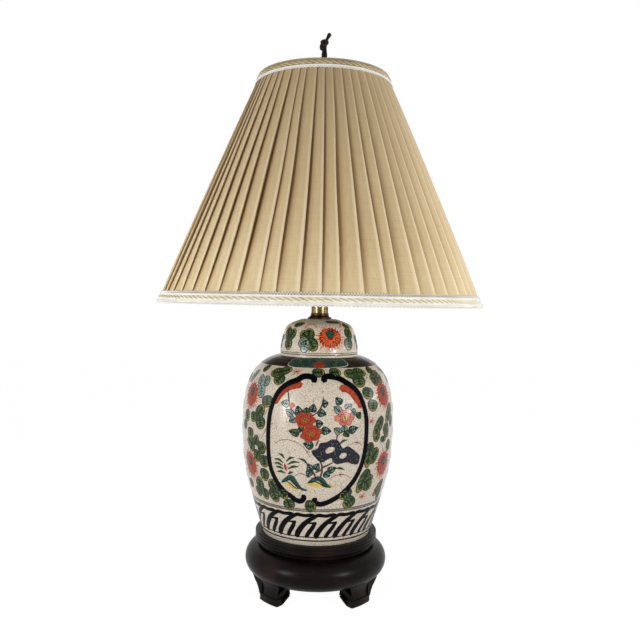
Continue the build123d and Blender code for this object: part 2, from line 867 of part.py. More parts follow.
with BuildPart() as shade_spider:
    with BuildSketch(Plane.XY.offset(harp_seat)):
        Circle(spider_washer_radius)
        Circle(spider_hole_radius, mode=Mode.SUBTRACT)
    extrude(amount=spider_thickness)
    for number in range(spider_arms):
        bearing = 2 * pi * number / spider_arms + pi / 2
        along = Vector(arm_run.X * cos(bearing), arm_run.X * sin(bearing), arm_run.Y)
        start = Vector(arm_start * cos(bearing), arm_start * sin(bearing), arm_low)
        with BuildSketch(Plane(origin=start, z_dir=along)):
            Circle(frame_wire_radius)
        extrude(amount=along.length)
save(shade_spider, "shade_spider")

# Trim: woven braid with a raised cord along each edge, at the top and the bottom
trim_lean = degrees(atan2(shade_bottom_radius - shade_top_radius, shade_height))

for trim_name, trim_middle in (
    ("top", shade_top - trim_width / 2 * shade_cosine),
    ("bottom", shade_bottom + trim_width / 2 * shade_cosine),
):
    centre = shade_radius(trim_middle) - trim_thickness / 2 / shade_cosine
    cord_radius = trim_thickness / 2
    half = trim_width / 2 - cord_radius
    with BuildPart() as trim:
        with BuildSketch(Plane.XZ):
            with Locations(Location((centre, trim_middle), trim_lean)):
                Rectangle(trim_web, 2 * half)
                with Locations((0, -half), (0, half)):
                    Circle(cord_radius)
        revolve(axis=Axis.Z)
    save(trim, f"shade_trim_{trim_name}")

# Finial: cast twig with a side bud and a bent tip, on a turned base
figure_base = spider_top + finial_base_height
figure_height = finial_height - finial_base_height
figure_top = figure_base + figure_height
tip_lean = radians(finial_tip_lean)
tip_direction = (sin(tip_lean), 0, cos(tip_lean))
tip_root_offset = finial_tip_reach - finial_tip_length * sin(tip_lean)
tip_root_height = figure_top - finial_tip_length * cos(tip_lean)
tip_root = (tip_root_offset, 0, tip_root_height)
stem_top = figure_top - finial_tip_length * 0.6
bud_height = figure_base + figure_height * 0.73

with BuildPart() as finial:
    with BuildSketch(Plane.XZ):
        with BuildLine():
            Polyline((0, stem_top), (0, spider_top), (finial_base_radius, spider_top))
            Spline(
                (finial_base_radius, spider_top),
                (finial_collar_radius, figure_base),
                (finial_collar_radius * 0.95, figure_base + figure_height * 0.17),
                (finial_stem_radius, figure_base + figure_height * 0.4),
                (finial_stem_radius * 0.95, figure_base + figure_height * 0.6),
                (finial_stem_radius, figure_base + figure_height * 0.77),
                (0, stem_top),
                tangents=[(-0.2, 1), (-1, 0.4)],
            )
        make_face()
    revolve(axis=Axis.Z)
    with BuildSketch(Plane.XZ):
        with Locations((-finial_stem_radius, bud_height)):
            Ellipse(finial_bud_radius, 1.8 * finial_bud_radius)
            Rectangle(
                finial_bud_radius,
                4 * finial_bud_radius,
                align=(Align.MIN, Align.CENTER),
                mode=Mode.SUBTRACT,
            )
    revolve(axis=Axis((-finial_stem_radius, 0, bud_height), (0, 0, 1)))
    across_tip = (cos(tip_lean), 0, -sin(tip_lean))
    with BuildSketch(Plane(origin=tip_root, x_dir=across_tip, z_dir=(0, -1, 0))):
        with BuildLine():
            Spline(
                (finial_stem_radius * 0.75, 0),
                (finial_bud_radius * 0.75, finial_tip_length * 0.35),
                (finial_bud_radius, finial_tip_length * 0.68),
                (0, finial_tip_length),
                tangents=[(-0.3, 1), (-1, 0)],
            )
            Polyline((0, finial_tip_length), (0, 0), (finial_stem_radius * 0.75, 0))
        make_face()
    revolve(axis=Axis(tip_root, tip_direction))
    with Locations(Plane(origin=(0, 0, spider_top), z_dir=(0, 0, -1))):
        Hole(stud_radius + running_fit, depth=finial_bore_depth)
save(finial, "finial")
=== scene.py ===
"""Looks of the ceramic table lamp: glaze and painted enamels, pleated shade, wood, brass, light and camera.

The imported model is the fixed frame. Everything is in metres, with the lamp's axis on Z, its soles at
Z = 0 and its painted panel facing -Y.
"""

import math
import random

import bpy
import numpy as np
from mathutils import Matrix, Vector
from mathutils.geometry import delaunay_2d_cdt


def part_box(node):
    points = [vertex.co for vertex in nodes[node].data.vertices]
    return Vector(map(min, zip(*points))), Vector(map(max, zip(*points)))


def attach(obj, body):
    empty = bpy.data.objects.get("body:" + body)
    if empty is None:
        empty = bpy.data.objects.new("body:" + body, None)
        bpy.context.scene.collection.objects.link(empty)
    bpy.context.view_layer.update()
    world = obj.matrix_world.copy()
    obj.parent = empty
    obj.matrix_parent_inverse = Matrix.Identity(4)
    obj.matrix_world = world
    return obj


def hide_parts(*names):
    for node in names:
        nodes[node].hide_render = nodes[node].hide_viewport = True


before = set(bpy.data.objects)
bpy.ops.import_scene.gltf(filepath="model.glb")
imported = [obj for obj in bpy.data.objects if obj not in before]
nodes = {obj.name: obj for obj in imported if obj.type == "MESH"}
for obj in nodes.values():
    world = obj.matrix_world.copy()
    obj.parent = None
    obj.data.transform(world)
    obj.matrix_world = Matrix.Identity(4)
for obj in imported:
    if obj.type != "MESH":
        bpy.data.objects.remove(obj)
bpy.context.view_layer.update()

MM = 0.001
TAU = 2 * math.pi
SLICE = 0.5 * MM  # up and down from a height, for the points of a node there

# Camera, worked out from the ellipses of the shade and the stand in the 640 x 640 photograph
CAMERA_PLACE = Vector((0.0, -0.946, 0.389))
CAMERA_ROLL = math.radians(1.03)
FOCAL_PIXELS = 700.0
IMAGE_SIZE = 640.0
AXIS_PIXEL = (320.0, 298.0)


# Small tools for curves and meshes


def smooth(points, steps, closed=False):
    """Points of a Catmull-Rom curve through the given points, with some steps for each span."""
    points = np.array(points, dtype=float)
    if closed:
        padded = np.vstack([points[-1:], points, points[:2]])
    else:
        padded = np.vstack([2 * points[0] - points[1], points, 2 * points[-1] - points[-2]])
    share = np.linspace(0, 1, steps, endpoint=False)[:, None]
    spans = []
    for a, b, c, d in zip(padded, padded[1:], padded[2:], padded[3:]):
        bend = 2 * a - 5 * b + 4 * c - d
        twist = 3 * b - a - 3 * c + d
        spans.append(b + 0.5 * share * ((c - a) + share * (bend + share * twist)))
    curve = np.vstack(spans)
    return curve if closed else np.vstack([curve, points[-1:]])


def inside(points, loops):
    """Even-odd test of points against closed loops."""
    result = np.zeros(len(points), dtype=bool)
    x, y = points[:, 0], points[:, 1]
    for loop in loops:
        for (x0, y0), (x1, y1) in zip(loop, np.roll(loop, -1, axis=0)):
            if y0 != y1:
                crossing = x0 + (y - y0) * (x1 - x0) / (y1 - y0)
                result ^= ((y0 > y) != (y1 > y)) & (x < crossing)
    return result


def new_object(name, vertices, faces, material, sharp_angle=40):
    """Mesh object with smooth shading that breaks at edges sharper than an angle in degrees."""
    mesh = bpy.data.meshes.new(name)
    mesh.from_pydata([tuple(v) for v in vertices], [], faces)
    mesh.validate()
    mesh.polygons.foreach_set("use_smooth", [True] * len(mesh.polygons))
    mesh.set_sharp_from_angle(angle=math.radians(sharp_angle))
    mesh.materials.append(material)
    piece = bpy.data.objects.new(name, mesh)
    bpy.context.scene.collection.objects.link(piece)
    return piece


def ring_faces(rows, columns, close_rows=False, first=0):
    """Quads of a grid of vertices, numbered from the first, that closes on itself along its columns."""
    faces = []
    for row in range(rows if close_rows else rows - 1):
        below, above = first + row * columns, first + (row + 1) % rows * columns
        for column in range(columns):
            right = (column + 1) % columns
            faces.append((below + column, below + right, above + right, above + column))
    return faces


def polar(radius, angle, height):
    return (radius * math.cos(angle), radius * math.sin(angle), height)


def from_front(radius, angle, height):
    """Point at an angle from the front, to the right."""
    return (radius * math.sin(angle), -radius * math.cos(angle), height)


def turned(name, profile, segments, material):
    """Solid turned from a closed profile of (radius, height), which runs anticlockwise."""
    angles = [TAU * step / segments for step in range(segments)]
    vertices = [from_front(radius, angle, height) for radius, height in profile for angle in angles]
    return new_object(name, vertices, ring_faces(len(profile), segments, close_rows=True), material)


def seat(piece, body, slot, *replaced):
    """Puts a piece on a body and hides the CAD nodes that it stands for; the slot is not used."""
    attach(piece, body)
    if replaced:
        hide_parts(*replaced)


def reach(node, height):
    """Largest radius of a CAD node's points at a height."""
    near = [v.co for v in nodes[node].data.vertices if abs(v.co.z - height) < SLICE]
    return max(math.hypot(point.x, point.y) for point in near)


# Materials


NOISE_ROUGHNESS = 0.55
NOISE_SPAN = (0.3, 0.7)  # holds nearly all of a noise


class Shading:
    """Node tree of one material or world, with short calls for the nodes that they share."""

    def __init__(self, owner):
        self.owner = owner
        owner.use_nodes = True
        self.tree = owner.node_tree
        self.shader = self.tree.nodes.get("Principled BSDF") or self.tree.nodes["Background"]
        self.place = self.add("ShaderNodeTexCoord").outputs["Object"]

    @classmethod
    def material(cls, name):
        return cls(bpy.data.materials.new(name))

    def add(self, kind, settings=(), **inputs):
        node = self.tree.nodes.new(kind)
        for key, value in dict(settings).items():
            setattr(node, key, value)
        self.fill(node, inputs)
        return node

    def put(self, socket, value):
        if isinstance(value, bpy.types.NodeSocket):
            self.tree.links.new(value, socket)
        else:
            socket.default_value = value

    def fill(self, node, inputs):
        for key, value in inputs.items():
            self.put(node.inputs[key.replace("_", " ")], value)

    def finish(self, **inputs):
        self.fill(self.shader, inputs)
        return self.owner

    def attribute(self, name):
        return self.add("ShaderNodeAttribute", {"attribute_name": name}).outputs["Fac"]

    def stretched(self, scale, source=None):
        """Coordinates stretched by a scale along each axis."""
        return self.add("ShaderNodeMapping", Vector=source or self.place, Scale=scale).outputs["Vector"]

    def noise(self, scale, detail=4.0, vector=None, distortion=0.0):
        look = {"Scale": scale, "Detail": detail, "Roughness": NOISE_ROUGHNESS, "Distortion": distortion}
        return self.add("ShaderNodeTexNoise", Vector=vector or self.place, **look).outputs["Fac"]

    def edges(self, scale):
        """Distance to the edges of a net of cells."""
        feature = {"feature": "DISTANCE_TO_EDGE"}
        return self.add("ShaderNodeTexVoronoi", feature, Vector=self.place, Scale=scale).outputs["Distance"]

    def ramp(self, value, low, high, first=0.0, last=1.0):
        """Value stretched from low..high to first..last, and clamped."""
        limits = {"From_Min": low, "From_Max": high, "To_Min": first, "To_Max": last}
        return self.add("ShaderNodeMapRange", Value=value, **limits).outputs["Result"]

    def spread(self, noise, first, last):
        """Noise stretched to first..last."""
        return self.ramp(noise, *NOISE_SPAN, first, last)

    def math(self, operation, first, second):
        node = self.add("ShaderNodeMath", {"operation": operation})
        self.put(node.inputs[0], first)
        self.put(node.inputs[1], second)
        return node.outputs["Value"]

    def times(self, first, second):
        return self.math("MULTIPLY", first, second)

    def mix(self, factor, first, second):
        node = self.add("ShaderNodeMix", {"data_type": "RGBA"})
        for number, value in ((0, factor), (6, first), (7, second)):
            self.put(node.inputs[number], value)
        return node.outputs[2]

    def tint(self, colour, shade, value, low, high, first=0.0, last=1.0):
        """Colour that takes on a share first..last of an 8-bit shade, as a value goes from low to high."""
        return self.mix(self.ramp(value, low, high, first, last), colour, srgb(*shade))

    def bump(self, height, strength, distance, under=None):
        node = self.add("ShaderNodeBump", Height=height, Strength=strength, Distance=distance)
        if under:
            self.put(node.inputs["Normal"], under)
        return node.outputs["Normal"]


def srgb(red, green, blue):
    """Linear colour of an 8-bit display colour."""
    linear = []
    for value in (red, green, blue):
        value /= 255
        linear.append(value / 12.92 if value <= 0.04045 else ((value + 0.055) / 1.055) ** 2.4)
    return (*linear, 1.0)


def deeper(colour, share):
    return [value * share for value in colour]


CRACK_NETS = ((300.0, 0.07, 0.0), (700.0, 0.06, 0.5))  # cells in a metre, width of a crack, and level in it


def crackle(shading):
    """Fine net of cracks, from 0 on a crack to 1 between cracks."""
    nets = [shading.ramp(shading.edges(cells), 0.0, width, level) for cells, width, level in CRACK_NETS]
    return shading.times(*nets)


def glaze_material():
    shading = Shading.material("crackle_glaze")
    cracks = crackle(shading)
    body = shading.mix(shading.noise(14.0), srgb(222, 212, 196), srgb(206, 194, 176))
    freckles = shading.noise(620.0, detail=2.0)
    body = shading.tint(body, (170, 148, 122), freckles, 0.66, 0.74)
    return shading.finish(
        Base_Color=shading.mix(cracks, srgb(146, 128, 108), body),
        Roughness=shading.spread(shading.noise(60.0), 0.10, 0.2),
        Specular_IOR_Level=0.3,
        Normal=shading.bump(cracks, 0.25, 0.15 * MM),
    )


def enamel_material(name, light, dark, scale=240.0, gloss=0.18):
    """Painted enamel that pools darker and thins lighter, over the cracks of the glaze."""
    shading = Shading.material(name)
    cracks = crackle(shading)
    pooled = shading.ramp(shading.noise(scale, detail=3.0), 0.36, 0.64)
    colour = shading.mix(pooled, srgb(*light), srgb(*dark))
    whole = shading.ramp(cracks, 0.0, 1.0, 0.7, 1.0)
    return shading.finish(
        Base_Color=shading.mix(whole, srgb(*dark), colour),
        Roughness=shading.spread(shading.noise(90.0), 0.14, 0.26),
        Specular_IOR_Level=gloss,
        Normal=shading.bump(pooled, 0.2, 0.1 * MM),
    )


def wood_material():
    """Ebonised wood with a rubbed satin polish."""
    shading = Shading.material("dark_wood")
    grain = shading.noise(60.0, detail=8.0, vector=shading.stretched((1.0, 5.0, 9.0)), distortion=0.6)
    pores = shading.noise(420.0, detail=2.0, vector=shading.stretched((0.25, 1.0, 1.0)))
    rubbed = shading.noise(22.0)
    colour = shading.tint(srgb(7, 5, 5), (20, 12, 10), grain, 0.3, 0.75)
    return shading.finish(
        Base_Color=shading.tint(colour, (40, 25, 20), rubbed, 0.55, 0.75),
        Roughness=shading.spread(shading.noise(34.0), 0.28, 0.4),
        Specular_IOR_Level=0.08,
        Normal=shading.bump(pores, 0.12, 0.25 * MM, under=shading.bump(grain, 0.1, 0.4 * MM)),
    )


def metal_material(name, bright, dull, roughness, scale=45.0, scratch=0.06):
    """Metal with patches of tarnish and fine rubbing marks."""
    shading = Shading.material(name)
    patches = shading.ramp(shading.noise(scale, detail=6.0), 0.35, 0.7)
    marks = shading.noise(700.0, detail=2.0, vector=shading.stretched((1.0, 1.0, 0.08)))
    return shading.finish(
        Base_Color=shading.mix(patches, srgb(*bright), srgb(*dull)),
        Metallic=1.0,
        Roughness=shading.ramp(patches, 0.0, 1.0, roughness, roughness + 0.18),
        Normal=shading.bump(marks, scratch, 0.2 * MM),
    )


def plain_material(name, light, dark, roughness, bump=0.15):
    """Moulded, painted or pressed surface with a faint mottle and grain."""
    shading = Shading.material(name)
    mottle = shading.noise(160.0, detail=5.0)
    grain = shading.noise(1400.0, detail=2.0)
    return shading.finish(
        Base_Color=shading.mix(mottle, srgb(*light), srgb(*dark)),
        Roughness=shading.spread(mottle, roughness - 0.05, roughness + 0.08),
        Normal=shading.bump(grain, bump, 0.1 * MM),
    )


def opal_material():
    shading = Shading.material("opal_glass")
    mottle = shading.noise(30.0)
    return shading.finish(
        Base_Color=shading.mix(mottle, srgb(244, 242, 236), srgb(232, 228, 220)),
        Roughness=shading.spread(mottle, 0.25, 0.4),
        Subsurface_Weight=0.3,
        Subsurface_Radius=(0.01, 0.009, 0.008),
    )


# Painted shade in the valleys and painted highlight on the folds: from where to where between valley and fold
# they go, and how strong they are there
FOLD_PAINTED_SHADE_AND_HIGHLIGHT = [
    ((140, 94, 34), 0.05, 0.7, 0.95, 0.0),
    ((92, 58, 16), 0.05, 0.4, 0.85, 0.0),
    ((242, 226, 192), 0.9, 0.98, 0.0, 0.6),
]
# painted shade, darker towards the top of the folded cloth
PAINTED_UPPER_SHADE = (158, 134, 98)
YARN_BREAKS = 70.0  # in a metre along a yarn
SLUBS = 900.0  # in a metre across the yarns


def cloth_material(name, light, dark, thread, slub, sheen, folded=False):
    """Woven cloth, by its own map: fine threads both ways, with thick and thin yarns along the first.

    Each cloth gets painted shade higher up; folded cloth also gets painted shade in its valleys, a painted
    highlight on its folds, and more painted shade towards the top.
    """
    shading = Shading.material(name)
    chart = shading.add("ShaderNodeUVMap").outputs["UV"]

    def threads(around, up, detail):
        return shading.noise(1.0, detail, shading.stretched((around, up, 1.0), chart))

    weave = shading.mix(0.5, threads(YARN_BREAKS, thread, 3.0), threads(thread, YARN_BREAKS, 2.0))
    yarns = shading.ramp(threads(YARN_BREAKS, SLUBS, 4.0), 0.5, 0.78)
    stains = shading.noise(7.0, detail=5.0)
    height = shading.add("ShaderNodeSeparateXYZ", Vector=shading.place).outputs["Z"]
    colour = shading.tint(srgb(*light), dark, stains, 0.3, 0.72)
    # painted shade: each cloth gets darker higher up
    colour = shading.tint(colour, deeper(dark, 0.84), height, 0.42, 0.72, 0.0, 0.55)
    colour = shading.mix(shading.times(yarns, slub), colour, srgb(*deeper(dark, 0.78)))
    colour = shading.tint(colour, deeper(dark, 0.62), weave, 0.35, 0.65, 0.22, 0.0)
    if folded:
        # painted shade in the valleys of the folds, and a painted highlight on their edges
        rise = shading.attribute("fold")
        for shade, *limits in FOLD_PAINTED_SHADE_AND_HIGHLIGHT:
            colour = shading.tint(colour, shade, rise, *limits)
        # painted shade, darker towards the top of the folded cloth
        colour = shading.tint(colour, PAINTED_UPPER_SHADE, shading.attribute("height"), 0.1, 1.0, 0.0, 0.62)
    return shading.finish(
        Base_Color=colour,
        Roughness=shading.spread(weave, 0.78, 0.62),
        Sheen_Weight=sheen,
        Sheen_Roughness=0.4,
        Normal=shading.bump(weave, 0.3, 0.2 * MM, under=shading.bump(yarns, 0.3, 0.25 * MM)),
    )


def thread_material(name, light, dark, roughness=0.6):
    """Twisted thread: fine fibres over a soft change of tone."""
    shading = Shading.material(name)
    fibres = shading.noise(2600.0, detail=2.0)
    tone = shading.noise(40.0)
    colour = shading.tint(srgb(*light), dark, tone, 0.35, 0.7)
    return shading.finish(
        Base_Color=shading.tint(colour, deeper(dark, 0.75), fibres, 0.35, 0.65, 0.25, 0.0),
        Roughness=shading.spread(fibres, roughness, roughness + 0.15),
        Sheen_Weight=0.3,
        Sheen_Roughness=0.5,
        Normal=shading.bump(fibres, 0.4, 0.1 * MM),
    )


glaze = glaze_material()
wood = wood_material()
brass = metal_material("brass", (118, 98, 68), (62, 51, 36), 0.22)
dark_brass = metal_material("dark_brass", (72, 56, 38), (34, 26, 20), 0.26)
steel = metal_material("steel", (176, 176, 178), (140, 140, 142), 0.3)
aluminium = metal_material("aluminium", (206, 206, 208), (180, 180, 182), 0.32)
bronze = metal_material("dark_bronze", (44, 36, 29), (20, 17, 15), 0.38, scale=160.0, scratch=0.3)
phenolic = plain_material("phenolic", (38, 30, 27), (28, 22, 20), 0.4)
black_plastic = plain_material("black_plastic", (30, 30, 31), (22, 22, 23), 0.5)
card = plain_material("card", (196, 176, 142), (174, 152, 118), 0.85, bump=0.4)
frame_paint = plain_material("frame_wire", (226, 216, 192), (208, 196, 170), 0.45)
opal = opal_material()
pleat_cloth = cloth_material(
    "pleated_cloth", (230, 207, 162), (214, 187, 138), thread=2400.0, slub=0.3, sheen=0.12, folded=True
)
lining_cloth = cloth_material(
    "lining_cloth", (236, 226, 204), (224, 211, 184), thread=1500.0, slub=0.25, sheen=0.1
)
braid_white = thread_material("braid_white", (252, 250, 244), (240, 236, 226))
# the white braid darkened to tan as painted shade, for the top trim
braid_painted_shade = thread_material("braid_painted_shade", (172, 152, 124), (136, 116, 90))
braid_gold = thread_material("braid_gold", (226, 210, 150), (206, 182, 112), 0.45)

NODE_MATERIALS = {
    wood: ["stand_top"]
    + [f"apron_{side}" for side in ("front", "right", "back", "left")]
    + [f"foot_{end}_{side}" for end in ("front", "back") for side in ("left", "right")],
    dark_brass: ["vase_cap"],
    brass: ["neck_tube", "socket_cap", "socket_shell", "screw_shell", "centre_contact"]
    + [f"harp_{part}" for part in ("saddle", "wire", "stud", "sleeve_left", "sleeve_right")],
    steel: ["lamp_pipe", "base_washer", "base_nut"],
    black_plastic: ["cord_bush"],
    phenolic: ["switch_body", "switch_knob"],
    card: ["socket_liner"],
    aluminium: ["bulb_cap"],
    opal: ["bulb_envelope"],
    frame_paint: [f"shade_{part}" for part in ("spider", "ring_top", "ring_bottom", "ribs")],
    bronze: ["finial"],
}
for node_material, names in NODE_MATERIALS.items():
    for node_name in names:
        nodes[node_name].data.materials.clear()
        nodes[node_name].data.materials.append(node_material)


# Jar and lid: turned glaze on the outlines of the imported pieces


class Turned:
    """Outside of a turned piece, found by its angle from the front and the length along its outline.

    A flat chart of it has angle times a reference radius to the right, and length along the outline up.
    """

    STEPS = 12  # of the outline, for each of its points
    SIGHT_STEPS = 600  # along the ray of a pixel
    SIGHT_ROOM = 1.02  # times the largest radius, where the ray starts

    def __init__(self, outline, reference):
        curve = smooth(outline, self.STEPS)
        self.radius, self.height = curve[:, 0], curve[:, 1]
        self.along = np.concatenate([[0], np.cumsum(np.hypot(*np.diff(curve, axis=0).T))])
        tangent = np.gradient(curve, self.along, axis=0)
        tangent /= np.linalg.norm(tangent, axis=1)[:, None]
        self.out_radius, self.out_height = tangent[:, 1], -tangent[:, 0]
        self.reference = reference

    def read(self, values, along):
        return np.interp(along, self.along, values)

    def point(self, spot, lift):
        """Place in space of a spot on the chart, lifted off the surface."""
        angle, along = spot[0] / self.reference, spot[1]
        radius = self.read(self.radius, along) + lift * self.read(self.out_radius, along)
        height = self.read(self.height, along) + lift * self.read(self.out_height, along)
        return from_front(radius, angle, height)

    def widen(self, along):
        """Length on the chart of a unit across the surface."""
        return self.reference / self.read(self.radius, along)

    def level(self, height):
        return float(np.interp(height, self.height, self.along))

    def seen(self, pixel):
        """Spot on the chart that a pixel of the photograph shows."""
        right, down = pixel[0] - AXIS_PIXEL[0], pixel[1] - AXIS_PIXEL[1]
        across = right * math.cos(CAMERA_ROLL) + down * math.sin(CAMERA_ROLL)
        drop = down * math.cos(CAMERA_ROLL) - right * math.sin(CAMERA_ROLL)
        ray = np.array([across / FOCAL_PIXELS, 1.0, -drop / FOCAL_PIXELS])
        start = -CAMERA_PLACE.y - self.radius.max() * self.SIGHT_ROOM
        depth = np.linspace(start, -CAMERA_PLACE.y, self.SIGHT_STEPS)
        points = np.array(CAMERA_PLACE) + depth[:, None] * ray
        gap = np.hypot(points[:, 0], points[:, 1]) - np.interp(points[:, 2], self.height, self.radius)
        touching = np.flatnonzero(gap < 0)
        spot = points[touching[0] if len(touching) else int(np.argmin(gap))]
        return np.array([math.atan2(spot[0], -spot[1]) * self.reference, self.level(spot[2])])


RAY_LENGTH = 0.5
SEAM_MISS = 0.0005  # keeps the rays off the seam of a node


def cast_outline(node, pivot, low, high, count):
    """Outline of a turned CAD node as (radius, height), by rays from outside to a pivot on its axis."""
    outline = []
    for elevation in np.radians(np.linspace(low, high, count)):
        outward = Vector((math.cos(elevation), SEAM_MISS, math.sin(elevation)))
        start = Vector((0, 0, pivot)) + outward * RAY_LENGTH
        hit, place, _, _ = nodes[node].ray_cast(start, -outward)
        if hit:
            outline.append((math.hypot(place.x, place.y), place.z))
    return outline


jar_low, jar_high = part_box("jar_body")
lid_low, lid_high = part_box("jar_lid")
JAR_WALL = 6 * MM
JAR_FLOOR = 8 * MM
JAR_NECK_RADIUS = 44 * MM
LID_WALL = 5 * MM
PIPE_HOLE_RADIUS = 5.1 * MM
LID_FLAT_RADIUS = 17 * MM
GLAZE_SEGMENTS = 288
INNER_STEP = 16  # points of the outside for each one of the inside
JAR_PIVOT = 190 * MM
JAR_RAYS = (-58.3, 66.0, 30)  # lowest and highest in degrees, and their number
LID_RAYS = (0.5, 70.0, 18)

ledge = lid_low.z
jar_foot_radius = reach("jar_body", jar_low.z)
jar_outline = [(jar_foot_radius, jar_low.z)] + cast_outline("jar_body", JAR_PIVOT, *JAR_RAYS)
jar_surface = Turned(jar_outline, reference=100 * MM)
lid_outline = cast_outline("jar_lid", ledge, *LID_RAYS)
lid_surface = Turned(lid_outline, reference=50 * MM)


def glazed_jar():
    """Jar with its ledge, neck, inner wall and drilled floor."""
    outer = list(zip(jar_surface.radius, jar_surface.height))
    neck = [(JAR_NECK_RADIUS, ledge), (JAR_NECK_RADIUS, jar_high.z)]
    mouth = [(JAR_NECK_RADIUS - JAR_WALL, jar_high.z), (JAR_NECK_RADIUS - JAR_WALL, ledge - JAR_WALL)]
    inner = []
    for step in range(len(outer) - 1, 0, -INNER_STEP):
        radius, height = outer[step]
        radius -= JAR_WALL * jar_surface.out_radius[step]
        height -= JAR_WALL * jar_surface.out_height[step]
        if jar_low.z + JAR_FLOOR < height < ledge - JAR_WALL and radius > JAR_NECK_RADIUS - JAR_WALL:
            inner.append((radius, height))
    floor = [(jar_foot_radius - JAR_WALL, jar_low.z + JAR_FLOOR), (PIPE_HOLE_RADIUS, jar_low.z + JAR_FLOOR)]
    bottom = [(PIPE_HOLE_RADIUS, jar_low.z)]
    return turned("jar_glaze", outer + neck + mouth + inner + floor + bottom, GLAZE_SEGMENTS, glaze)


def glazed_lid():
    """Lid with its hollow and the hole for the pipe."""
    outer = [(lid_outline[0][0], ledge)] + list(zip(lid_surface.radius, lid_surface.height))
    hole = [(PIPE_HOLE_RADIUS, lid_high.z), (PIPE_HOLE_RADIUS, lid_high.z - LID_WALL)]
    top = [(LID_FLAT_RADIUS, lid_high.z)] + hole
    hollow = []
    for radius, height in reversed(lid_outline):
        if radius > LID_FLAT_RADIUS + LID_WALL:
            hollow.append((radius - LID_WALL, max(height - LID_WALL / 2, ledge)))
    return turned("lid_glaze", outer + top + hollow, GLAZE_SEGMENTS, glaze)


seat(glazed_jar(), "base", "crackle_glaze", "jar_body")
seat(glazed_lid(), "base", "crackle_glaze", "jar_lid")


# Painted enamels: thin raised plates, one object for each colour

SINK = 0.12 * MM
WASH, LINE, FILL, DETAIL, TOP = (level * MM for level in (0.06, 0.10, 0.15, 0.20, 0.25))
COAT = 0.04 * MM  # on top of one of these levels
GRID = 3.5 * MM
BAND_SEGMENTS = 240
SAME_SPOT = 1e-7


class Enamel:
    """All the paint of one colour."""

    made = []

    def __init__(self, name, light, dark, **look):
        self.name = name
        self.material = enamel_material(f"enamel_{name}", light, dark, **look)
        self.vertices = []
        self.faces = []
        self.made.append(self)

    def add(self, surface, spots, triangles, lift):
        """Closes a sheet of triangles on the chart into a thin plate on the surface."""
        first, count = len(self.vertices), len(spots)
        for height in (lift, -SINK):
            self.vertices.extend(surface.point(spot, height) for spot in spots)
        border = {}
        for a, b, c in triangles:
            self.faces.append((first + a, first + b, first + c))
            self.faces.append((first + count + c, first + count + b, first + count + a))
            for edge in ((a, b), (b, c), (c, a)):
                if edge[::-1] in border:
                    del border[edge[::-1]]
                else:
                    border[edge] = True
        for a, b in border:
            self.faces.append((first + b, first + a, first + count + a, first + count + b))

    def plate(self, surface, loops, lift):
        """Plate with closed loops on the chart as its edge and its holes."""
        loops = [np.array(loop) for loop in loops]
        low, high = loops[0].min(axis=0), loops[0].max(axis=0)
        columns = np.arange(low[0] + GRID / 2, high[0], GRID)
        rows = np.arange(low[1] + GRID / 2, high[1], GRID)
        grid = np.array([(x, y) for x in columns for y in rows]).reshape(-1, 2)
        rim = np.vstack(loops)
        if len(grid):
            grid = grid[inside(grid, loops)]
        if len(grid):
            room = np.linalg.norm(grid[:, None] - rim[None], axis=2).min(axis=1)
            grid = grid[room > GRID / 3]
        edges, start = [], 0
        for loop in loops:
            edges += [(start + i, start + (i + 1) % len(loop)) for i in range(len(loop))]
            start += len(loop)
        spots = [Vector(point) for point in np.vstack([rim, grid])]
        spots, _, faces, *_ = delaunay_2d_cdt(spots, edges, [], 0, SAME_SPOT)
        flat = np.array([(spot.x, spot.y) for spot in spots])
        faces = np.array(faces)
        keep = inside(flat[faces].mean(axis=1), loops)
        self.add(surface, flat, faces[keep].tolist(), lift)

    def band(self, surface, low, high, lift):
        """Band all round between two lengths along the outline."""
        count = max(2, int((high - low) / GRID) + 2)
        loop = [(along, lift) for along in np.linspace(low, high, count)]
        loop += [(along, -SINK) for along in np.linspace(high, low, count)]
        self.faces += ring_faces(len(loop), BAND_SEGMENTS, close_rows=True, first=len(self.vertices))
        for along, height in loop:
            for step in range(BAND_SEGMENTS):
                spot = (TAU * surface.reference * step / BAND_SEGMENTS, along)
                self.vertices.append(surface.point(spot, height))

    def build(self):
        piece = new_object(f"enamel_{self.name}", self.vertices, self.faces, self.material)
        seat(piece, "base", "crackle_glaze")


ink = Enamel("ink", (38, 34, 27), (22, 20, 17), gloss=0.06)
navy = Enamel("navy", (12, 12, 16), (6, 6, 9), gloss=0.05)
rock = Enamel("rock", (44, 46, 64), (12, 13, 20), scale=1300.0)
leaf = Enamel("leaf", (66, 88, 50), (30, 50, 28), scale=420.0)
moss = Enamel("moss", (118, 132, 78), (84, 104, 58), scale=420.0)
teal = Enamel("teal", (46, 90, 80), (18, 50, 46), scale=420.0)
mint = Enamel("mint", (150, 166, 156), (104, 126, 118))
olive = Enamel("olive", (150, 140, 66), (104, 102, 44))
red = Enamel("red", (178, 70, 36), (142, 46, 24), scale=420.0)
orange = Enamel("orange", (226, 112, 56), (198, 78, 38), scale=420.0)
crimson = Enamel("crimson", (132, 42, 30), (98, 28, 22))
rose = Enamel("rose", (206, 126, 106), (176, 88, 72))
sand = Enamel("sand", (216, 192, 104), (186, 152, 62))
brown = Enamel("brown", (104, 76, 62), (64, 46, 40))
charcoal = Enamel("charcoal", (48, 40, 38), (26, 22, 21), scale=120.0)
celadon = Enamel("celadon", (146, 142, 130), (112, 110, 102))
pearl = Enamel("pearl", (232, 224, 210), (216, 204, 188))


